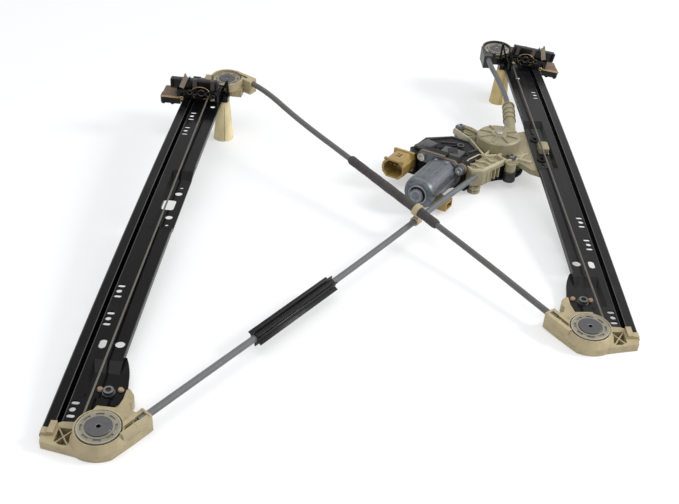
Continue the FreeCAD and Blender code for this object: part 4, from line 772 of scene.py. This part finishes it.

# Electronics lid: raised plates, short cooling ribs, edge beads and bosses, in a grey lighter than the black
# lid as painted light on their faces
LID_TOP = 34.0
LID_TURN = -14
PLATE_TOP = LID_TOP + 3.4
LID_PLATES = (
    (-66.0, -43.0, 24.0, 39.0, LID_TOP - 1, PLATE_TOP, LID_TURN),
    (-71.0, -43.0, -11.0, 13.0, LID_TOP - 1, LID_TOP + 2.2),
    (-70.0, -62.5, -9.0, 11.0, LID_TOP, LID_TOP + 2.8),
)
RIB_WAY = Vector((0.479, -0.878))
RIB_HALF = 5.0
RIB_WIDTH = 1.0
RIB_SPAN = (LID_TOP + 2, LID_TOP + 3.2)
COOLING_FROM = Vector((-54.0, -1.0))
COOLING_STEP = Vector((2.5, 1.4))
COOLING_COUNT = 4
PLATE_RIB_SPAN = (LID_TOP + 3, LID_TOP + 4.2)
LID_EDGE = ((-37.0, 37.0), (-16.8, 17.5), (-17.5, -4.0), (-30.0, -18.0))
EDGE_WIDTH = 1.6
EDGE_TOP = LID_TOP + 1.2
BEAD_LOW = LID_TOP - 0.5
LID_BEADS = (((-36.0, 22.0), (-28.0, 6.0)), ((-40.0, -14.0), (-30.0, -18.0)))
BEAD_WIDTH = 1.2
BEAD_TOP = LID_TOP + 1.4
PLATE_RIB_X = (-64.5, -58.5)
PLATE_RIB_Y = 27.0
PLATE_RIB_STEP = 3.0
PLATE_RIB_COUNT = 3
LID_BOSSES = ((-30.0, 1.0, LID_TOP + 0.4, 3.4, 1.0), (-66.0, 33.5, PLATE_TOP, 2.0, 0.6))


def on_lid(name, parts, round_off):
    gather(name, parts, DRIVE, "lid grey", FIXED, round_off)


on_lid("lid_plates", slabs(LID_PLATES), round_off=0.8)
rib_parts = []
for step in range(COOLING_COUNT):
    middle = COOLING_FROM + COOLING_STEP * step
    rib_parts.append(wall(middle - RIB_WAY * RIB_HALF, middle + RIB_WAY * RIB_HALF, RIB_WIDTH, *RIB_SPAN))
rib_parts += walls(LID_EDGE, EDGE_WIDTH, BEAD_LOW, EDGE_TOP)
rib_parts += [wall(*bead, BEAD_WIDTH, BEAD_LOW, BEAD_TOP) for bead in LID_BEADS]
for step in range(PLATE_RIB_COUNT):
    near = PLATE_RIB_Y + PLATE_RIB_STEP * step
    rib_parts.append(slab(*PLATE_RIB_X, near, near + RIB_WIDTH, *PLATE_RIB_SPAN, LID_TURN))
on_lid("lid_ribs", rib_parts, round_off=0.25)
on_lid("lid_boss", [hoop(*boss) for boss in LID_BOSSES], round_off=0)

# Motor: pressed rings of the nose, folds along the can, crimps at its flange and stamped frame, drawn lighter
# than the can as a painted highlight
WORM_LINE = 22.0
CAN_RADIUS = 17.5
CAN_FLAT_TOP = WORM_LINE + 15.5
NOSE_RINGS = ((-135.2, 9.6, 1.1), (-134.0, 13.4, 0.8), (-139.6, 5.4, 0.7))
NOSE_SHADE_RING = (-135.1, 8.2, 0.9)
# Turn about the worm line, start and end along it
CAN_FOLDS = ((30, -127, -82), (52, -127, -84), (128, -127, -84), (150, -127, -82), (0, -125, -82),
             (-25, -125, -82), (180, -125, -82), (205, -125, -82))
FOLD_HALF = 0.45
CAN_FRAME = ((-118.0, -5.0), (-92.0, -5.0), (-92.0, 5.0), (-118.0, 5.0), (-118.0, -5.0))
FRAME_BEAD = (0.6, CAN_FLAT_TOP - 0.2, CAN_FLAT_TOP + 0.25)
CAN_CRIMPS = (
    (-131.0, -129.8, -7.0, 7.0, CAN_FLAT_TOP - 0.6, CAN_FLAT_TOP + 0.2),
    (-84.0, -79.0, -8.0, -5.0, CAN_FLAT_TOP - 0.4, CAN_FLAT_TOP + 0.7),
    (-84.0, -79.0, 5.0, 8.0, CAN_FLAT_TOP - 0.4, CAN_FLAT_TOP + 0.7),
)


def on_motor(name, parts, look, round_off):
    gather(name, parts, DRIVE, look, FIXED, round_off)


def nose_ring(x, radius, thick):
    return hoop(x, 0, WORM_LINE, radius, thick, "X")


on_motor("can_rings", [nose_ring(*ring) for ring in NOSE_RINGS], "motor light", round_off=0)
# Dark ring round the base of the nose: a painted shade
on_motor("nose_shade_ring", [nose_ring(*NOSE_SHADE_RING)], "nose shade", round_off=0)
fold_parts = []
for degrees, begin, end in CAN_FOLDS:
    y = CAN_RADIUS * math.cos(math.radians(degrees))
    z = WORM_LINE + CAN_RADIUS * math.sin(math.radians(degrees))
    fold_parts.append(slab(begin, end, y - FOLD_HALF, y + FOLD_HALF, z - FOLD_HALF, z + FOLD_HALF))
fold_parts += walls(CAN_FRAME, *FRAME_BEAD)
on_motor("can_folds", fold_parts + slabs(CAN_CRIMPS), "motor light", round_off=0.2)

# Plug socket: hooked slot on its top face drawn as thin dark slabs of painted shade, and lugs and a collar
# round it
SLOT_SHADE_SPAN = (33.6, 34.15)
SLOT_SHADE_PLANS = ((-93.0, -86.0, 44.0, 45.3), (-93.0, -91.6, 44.0, 48.5), (-88.5, -86.0, 47.2, 48.5))
LUG_SPAN = (32.0, 34.8)
SOCKET_LUGS = (
    (-104.8, -101.5, 35.0, 37.6, *LUG_SPAN),
    (-104.8, -101.5, 54.0, 57.0, *LUG_SPAN),
    (-104.0, -96.0, 58.3, 59.3, 20.0, 26.0),
    (-80.0, -76.5, 33.5, 58.0, 12.8, 34.9),
)
gather("socket_slot_shade", [slab(*plan, *SLOT_SHADE_SPAN) for plan in SLOT_SHADE_PLANS], DRIVE, "dark hole", FIXED,
       round_off=0)
gather("socket_lugs", slabs(SOCKET_LUGS), DRIVE, "amber", FIXED, round_off=0.4)

# Pulley housings: rims of axle, groove and wall, star of the screw, ribs of the sleeve
# Rims by their height, radius and thickness
AXLE_RIM = ((11.62, 2.2, 0.3),)
GROOVE_RIMS = ((10.5, 16.6, 0.45), (10.5, 11.6, 0.5))
WALL_EDGE = ((9.8, 18.9, 0.7),)
TOP_RIMS = ((10.4, 2.0, 0.35), (10.2, 8.6, 0.3))
TOP_PULLEY = {"left": (-3.0, 543.0), "right": (3.0, 521.0)}
SCREW_STAR_SHADE = (-6.1, 47.6, 1.2, 2.35, 0.3)
SLEEVE_TURN = math.radians(34)
SLEEVE_WAY = Vector((math.sin(SLEEVE_TURN), math.cos(SLEEVE_TURN)))
SLEEVE_SIDE = Vector((SLEEVE_WAY.y, -SLEEVE_WAY.x))
GROOVE_RADIUS = 15.6
# Two ends, each along and beside the sleeve, then width, low and high
SLEEVE_RIBS = (
    ((12, 5.2), (34, 5.2), 1.0, 2.0, 4.0),
    ((12, 5.2), (34, 5.2), 1.0, 6.0, 7.4),
    ((17.5, -6.0), (32, -6.0), 1.2, 8.0, 10.6),
    ((20, 1.0), (20, 5.4), 1.0, 10.0, 12.0),
    ((33.5, -5.0), (33.5, 5.4), 1.4, 10.0, 12.4),
)


def beside_sleeve(along, aside):
    return SLEEVE_SIDE * (GROOVE_RADIUS + aside) + SLEEVE_WAY * along


def rims(rows, x=0):
    return [hoop(x, 0, height, radius, thick) for height, radius, thick in rows]


for side in SIDES:
    place = rail_frame(side)
    gather("axle_rim_" + side, rims(AXLE_RIM), place, "steel", FIXED, round_off=0)
    # The groove rims take the pulley's colour made lighter, a painted highlight
    gather("groove_rims_" + side, rims(GROOVE_RIMS), place, "pulley light", "pulley_bottom_" + side,
           round_off=0)
    gather("wall_edge_" + side, rims(WALL_EDGE), place, "cream", FIXED, round_off=0)
    # The screw's star is a dark disc of painted shade
    gather("screw_star_shade_" + side, [disc(*SCREW_STAR_SHADE, STAR_SIDES)], place, "dark hole", FIXED,
           round_off=0)
    rib_parts = [wall(beside_sleeve(*start), beside_sleeve(*end), *size) for start, end, *size in SLEEVE_RIBS]
    gather("sleeve_ribs_" + side, rib_parts, place, "cream", FIXED)
    across, along = TOP_PULLEY[side]
    top = place @ Matrix.Translation((0, along, web_height(along)))
    gather("top_axle_rim_" + side, rims(TOP_RIMS, across), top, "bright steel", FIXED,
           round_off=0)

# Glass clamps: rounded cover of the upper jaw, its bolt, prongs, wire loops, lining edge and ribs
JAW_BAR = (
    (-59.5, -7.5, -10.5, -2.5, 13.8, 24.6),
    (-50.0, -12.0, -4.0, 6.0, 13.8, 18.4),
    (-46.0, -44.6, -3.0, 3.0, 15.0, 21.0),
    (-16.0, -14.6, -3.0, 3.0, 15.0, 21.0),
)
JAW_BOLT_AT = (-26.0, 2.0)
JAW_BOLT = ((19.6, 5.2, 2.4), (12.0, 2.5, 14.0))
JAW_PRONGS = (
    (-42.6, -41.2, -10.6, -8.8, 23.0, 30.0, 0, 14),
    (-38.6, -37.2, -10.6, -8.8, 23.0, 29.4, 0, 14),
    (-59.0, -56.0, -12.2, -10.4, 15.0, 25.5),
    (-30.0, -27.5, -12.0, -10.4, 14.5, 18.5),
)
# Across, out from the clamp's front, height, radius and thickness
CLAMP_FRONT = -13.0
WIRE_LOOPS = ((-24.0, -0.6, 12.2, 3.6, 0.45), (-16.5, -0.6, 11.4, 2.6, 0.4), (-31.0, -0.6, 11.6, 2.3, 0.4),
              (-37.0, -0.6, 11.8, 2.6, 0.4), (-11.0, -0.4, 8.4, 2.0, 0.35))
WIRE_ARCH = (-25.0, 0.35, 11.5, 10.4, 0.45)
ARCH_SQUEEZE = 0.72
LINER_CURL = (-46.5, -0.3, 3.6, 1.6, 0.6)
# Spans, with those out from the clamp's front in the middle
LINER_EDGES = ((-70.6, -50.0, -0.5, 0.6, 2.8, 4.6), (-50.5, -47.0, -0.5, 0.4, 3.6, 4.8))
UPRIGHT_RIBS_AT = (-44.0, -39.5, -35.0, -28.0, -24.0)
UPRIGHT_RIBS = tuple((across, across + 1.0, -0.8, 0.4, 1.2, 8.6) for across in UPRIGHT_RIBS_AT)
LEVEL_RIBS = ((-44.0, -8.0, -0.7, 0.4, 8.8, 9.8), (-36.0, -23.0, -1.6, 0.4, 4.4, 5.6),
              (-47.5, -8.0, -1.2, 3.0, 12.6, 14.2))
FRONT_PAD = ((-13.5, -9.0, -1.8, -0.2, 4.0, 5.6, 0, -12),)


def front_slabs(rows):
    return [slab(x0, x1, CLAMP_FRONT + y0, CLAMP_FRONT + y1, *rest) for x0, x1, y0, y1, *rest in rows]


def front_hoop(x, out, z, radius, thick, squeeze=1.0):
    return hoop(x, CLAMP_FRONT + out, z, radius, thick, "Y", squeeze)


for side in SIDES:
    place = clamp_frame(side)
    body = "carrier_" + side
    jaw = gather("jaw_bar_" + side, slabs(JAW_BAR), place, "clamp black", body,
                 round_off=1.8, steps=3)
    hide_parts("clamp_jaw_" + side)
    bolt_parts = [disc(*JAW_BOLT_AT, *size) for size in JAW_BOLT]
    bolt = gather("jaw_bolt_" + side, bolt_parts, place, "spring steel", body,
                  round_off=0.4)
    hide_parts("clamp_screw_" + side)
    gather("jaw_prongs_" + side, slabs(JAW_PRONGS), place, "clamp black", body,
           round_off=0.4)
    gather("wire_loops_" + side, [front_hoop(*loop) for loop in WIRE_LOOPS], place, "spring steel", body,
           round_off=0)
    gather("wire_arch_" + side, [front_hoop(*WIRE_ARCH, ARCH_SQUEEZE)], place, "brass wire", body,
           round_off=0)
    gather("liner_edge_" + side, front_slabs(LINER_EDGES) + [front_hoop(*LINER_CURL)], place, "brass wire",
           body)
    gather("front_ribs_" + side, front_slabs(UPRIGHT_RIBS + LEVEL_RIBS), place, "clamp black", body)
    gather("front_pad_" + side, front_slabs(FRONT_PAD), place, "strap", body)

# Rolled bends of the rails, which catch the light, drawn lighter than the rail paint as a painted highlight:
# place across, height over the web and radius
OUTER_BENDS = ((-32.3, 0.0, 0.4), (-36.0, 3.0, 0.4), (-44.1, 2.8, 0.5))
INNER_BEND = (-3.2, 0.0, 0.5)
INNER_SPANS = ((84.0, 254.0), (366.0, 470.0))
BEND_STEP = 12.0
BEND_START = 2.0
BEND_SHORT = 4.0


def bend_line(name, side, across, height, radius, start, end):
    place = rail_frame(side)
    count = int((end - start) / BEND_STEP)
    spots = [start + (end - start) * step / count for step in range(count + 1)]
    line = [place @ Vector((across, spot, web_height(spot) + height)) for spot in spots]
    bend = tube_along(name, line, [radius * MM] * len(line), "rail edge", angle=60)


for side in SIDES:
    for number, bend in enumerate(OUTER_BENDS):
        bend_line("rail_bend_%s_%d" % (side, number), side, *bend, BEND_START, RAIL_END[side] - BEND_SHORT)
    for number, span in enumerate(INNER_SPANS):
        bend_line("inner_bend_%s_%d" % (side, number), side, *INNER_BEND, *span)

# Posts: seam down the front of each, from its foot to just under the rail
POSTS = {"left": (-165.2, 515.9, 45.0), "right": (166.8, 660.0, 44.0)}
SEAM_FOOT = (2.5, -11.35, 1.0)
SEAM_HEAD = (2.0, -6.6)
SEAM_HALF_WIDTH = 0.35
SEAM_HALF_DEPTH = 0.3
for side in SIDES:
    x, y, high = POSTS[side]
    seam_low = Vector((x, y, 0)) + Vector(SEAM_FOOT)
    seam_high = Vector((x + SEAM_HEAD[0], y + SEAM_HEAD[1], high))
    half = (seam_high - seam_low).length / 2
    seam = slab(-SEAM_HALF_WIDTH, SEAM_HALF_WIDTH, -SEAM_HALF_DEPTH, SEAM_HALF_DEPTH, -half, half)
    lie = (seam_high - seam_low).to_track_quat("Z", "Y").to_matrix().to_4x4()
    place = BENCH @ Matrix.Translation((seam_low + seam_high) / 2) @ lie
    gather("post_seam_" + side, [seam], place, "post seam", FIXED, round_off=0)

# Camera
camera_data = bpy.data.cameras.new("camera")
camera_data.lens = CAMERA_LENS
camera_data.sensor_width = CAMERA_SENSOR
camera = bpy.data.objects.new("camera", camera_data)
bpy.context.scene.collection.objects.link(camera)
yaw, pitch, roll = (math.radians(angle) for angle in (CAMERA_YAW, CAMERA_PITCH, CAMERA_ROLL))
forward = Vector((math.sin(yaw) * math.cos(pitch), math.cos(yaw) * math.cos(pitch), -math.sin(pitch)))
level = Vector((math.cos(yaw), -math.sin(yaw), 0))
upward = level.cross(forward)
right_hand = math.cos(roll) * level + math.sin(roll) * upward
up_hand = math.cos(roll) * upward - math.sin(roll) * level
turn = Matrix((right_hand, up_hand, -forward)).transposed().to_4x4()
camera.matrix_world = Matrix.Translation(from_bench(*CAMERA_PLACE)) @ turn
bpy.context.scene.camera = camera

# Floor: white, with a glow for the camera alone, so that it keeps the shadows and still looks white
FLOOR_SIZE = 14.0
FLOOR_DROP = 0.0002
FLOOR_GLOW = 0.45
FLOOR_MOTTLE = 3.0
FLOOR_UNEVEN = 0.3
FLOOR_LIGHT = (0.90, 0.90, 0.90)
FLOOR_DARK = (0.88, 0.88, 0.88)
FLOOR_ROUGHNESS = 0.9
pick()
bpy.ops.mesh.primitive_plane_add(size=FLOOR_SIZE, location=(0, 0, -FLOOR_DROP))
floor = bpy.context.object
floor.name = "floor"
ground = Graph(bpy.data.materials.new("floor white"))
mottled = ground.noise(FLOOR_MOTTLE, detail=2.0) * FLOOR_UNEVEN
ground_shade = ground.blend(mottled, FLOOR_LIGHT, FLOOR_DARK)
camera_share = ground.node("ShaderNodeLightPath", out="Is Camera Ray") * FLOOR_GLOW
glow = ground.node("ShaderNodeEmission", None, (1, 1, 1), 1.0)
matt = ground.shader(ground_shade, FLOOR_ROUGHNESS)
lit_floor = ground.node("ShaderNodeMixShader", None, camera_share, matt, glow)
ground.node("ShaderNodeOutputMaterial", None, lit_floor)
floor.data.materials.append(ground.holder)

# World: plain white where the camera, glass or a reflection sees it, dimmer as a light
SKY_TINT = (0.95, 0.97, 1.0)
SKY_LEVEL = 0.72
world = bpy.data.worlds.new("studio")
bpy.context.scene.world = world
sky = Graph(world)
seen = sky.node("ShaderNodeLightPath", out="Is Camera Ray")
for ray in ("Is Transmission Ray", "Is Glossy Ray"):
    seen = sky.maths("MAXIMUM", seen, sky.node("ShaderNodeLightPath", out=ray))
dim = sky.node("ShaderNodeBackground", None, SKY_TINT, SKY_LEVEL)
white = sky.node("ShaderNodeBackground", None, (1, 1, 1), 1.0)
sky.node("ShaderNodeOutputWorld", None, sky.node("ShaderNodeMixShader", None, seen, dim, white))


def soft_lamp(name, place, aim, size, power):
    data = bpy.data.lights.new(name, "AREA")
    data.energy = power
    data.size = size
    lamp = bpy.data.objects.new(name, data)
    bpy.context.scene.collection.objects.link(lamp)
    lamp.location = place
    lamp.rotation_mode = "QUATERNION"
    lamp.rotation_quaternion = (Vector(aim) - Vector(place)).to_track_quat("-Z", "Y")


soft_lamp("key", (1.7, 0.0, 1.15), aim=(0, 0.1, 0), size=0.5, power=24.0)
soft_lamp("top", (-0.3, -0.6, 2.0), aim=(0, 0, 0), size=1.6, power=14.0)
bpy.context.scene.view_settings.view_transform = "Standard"
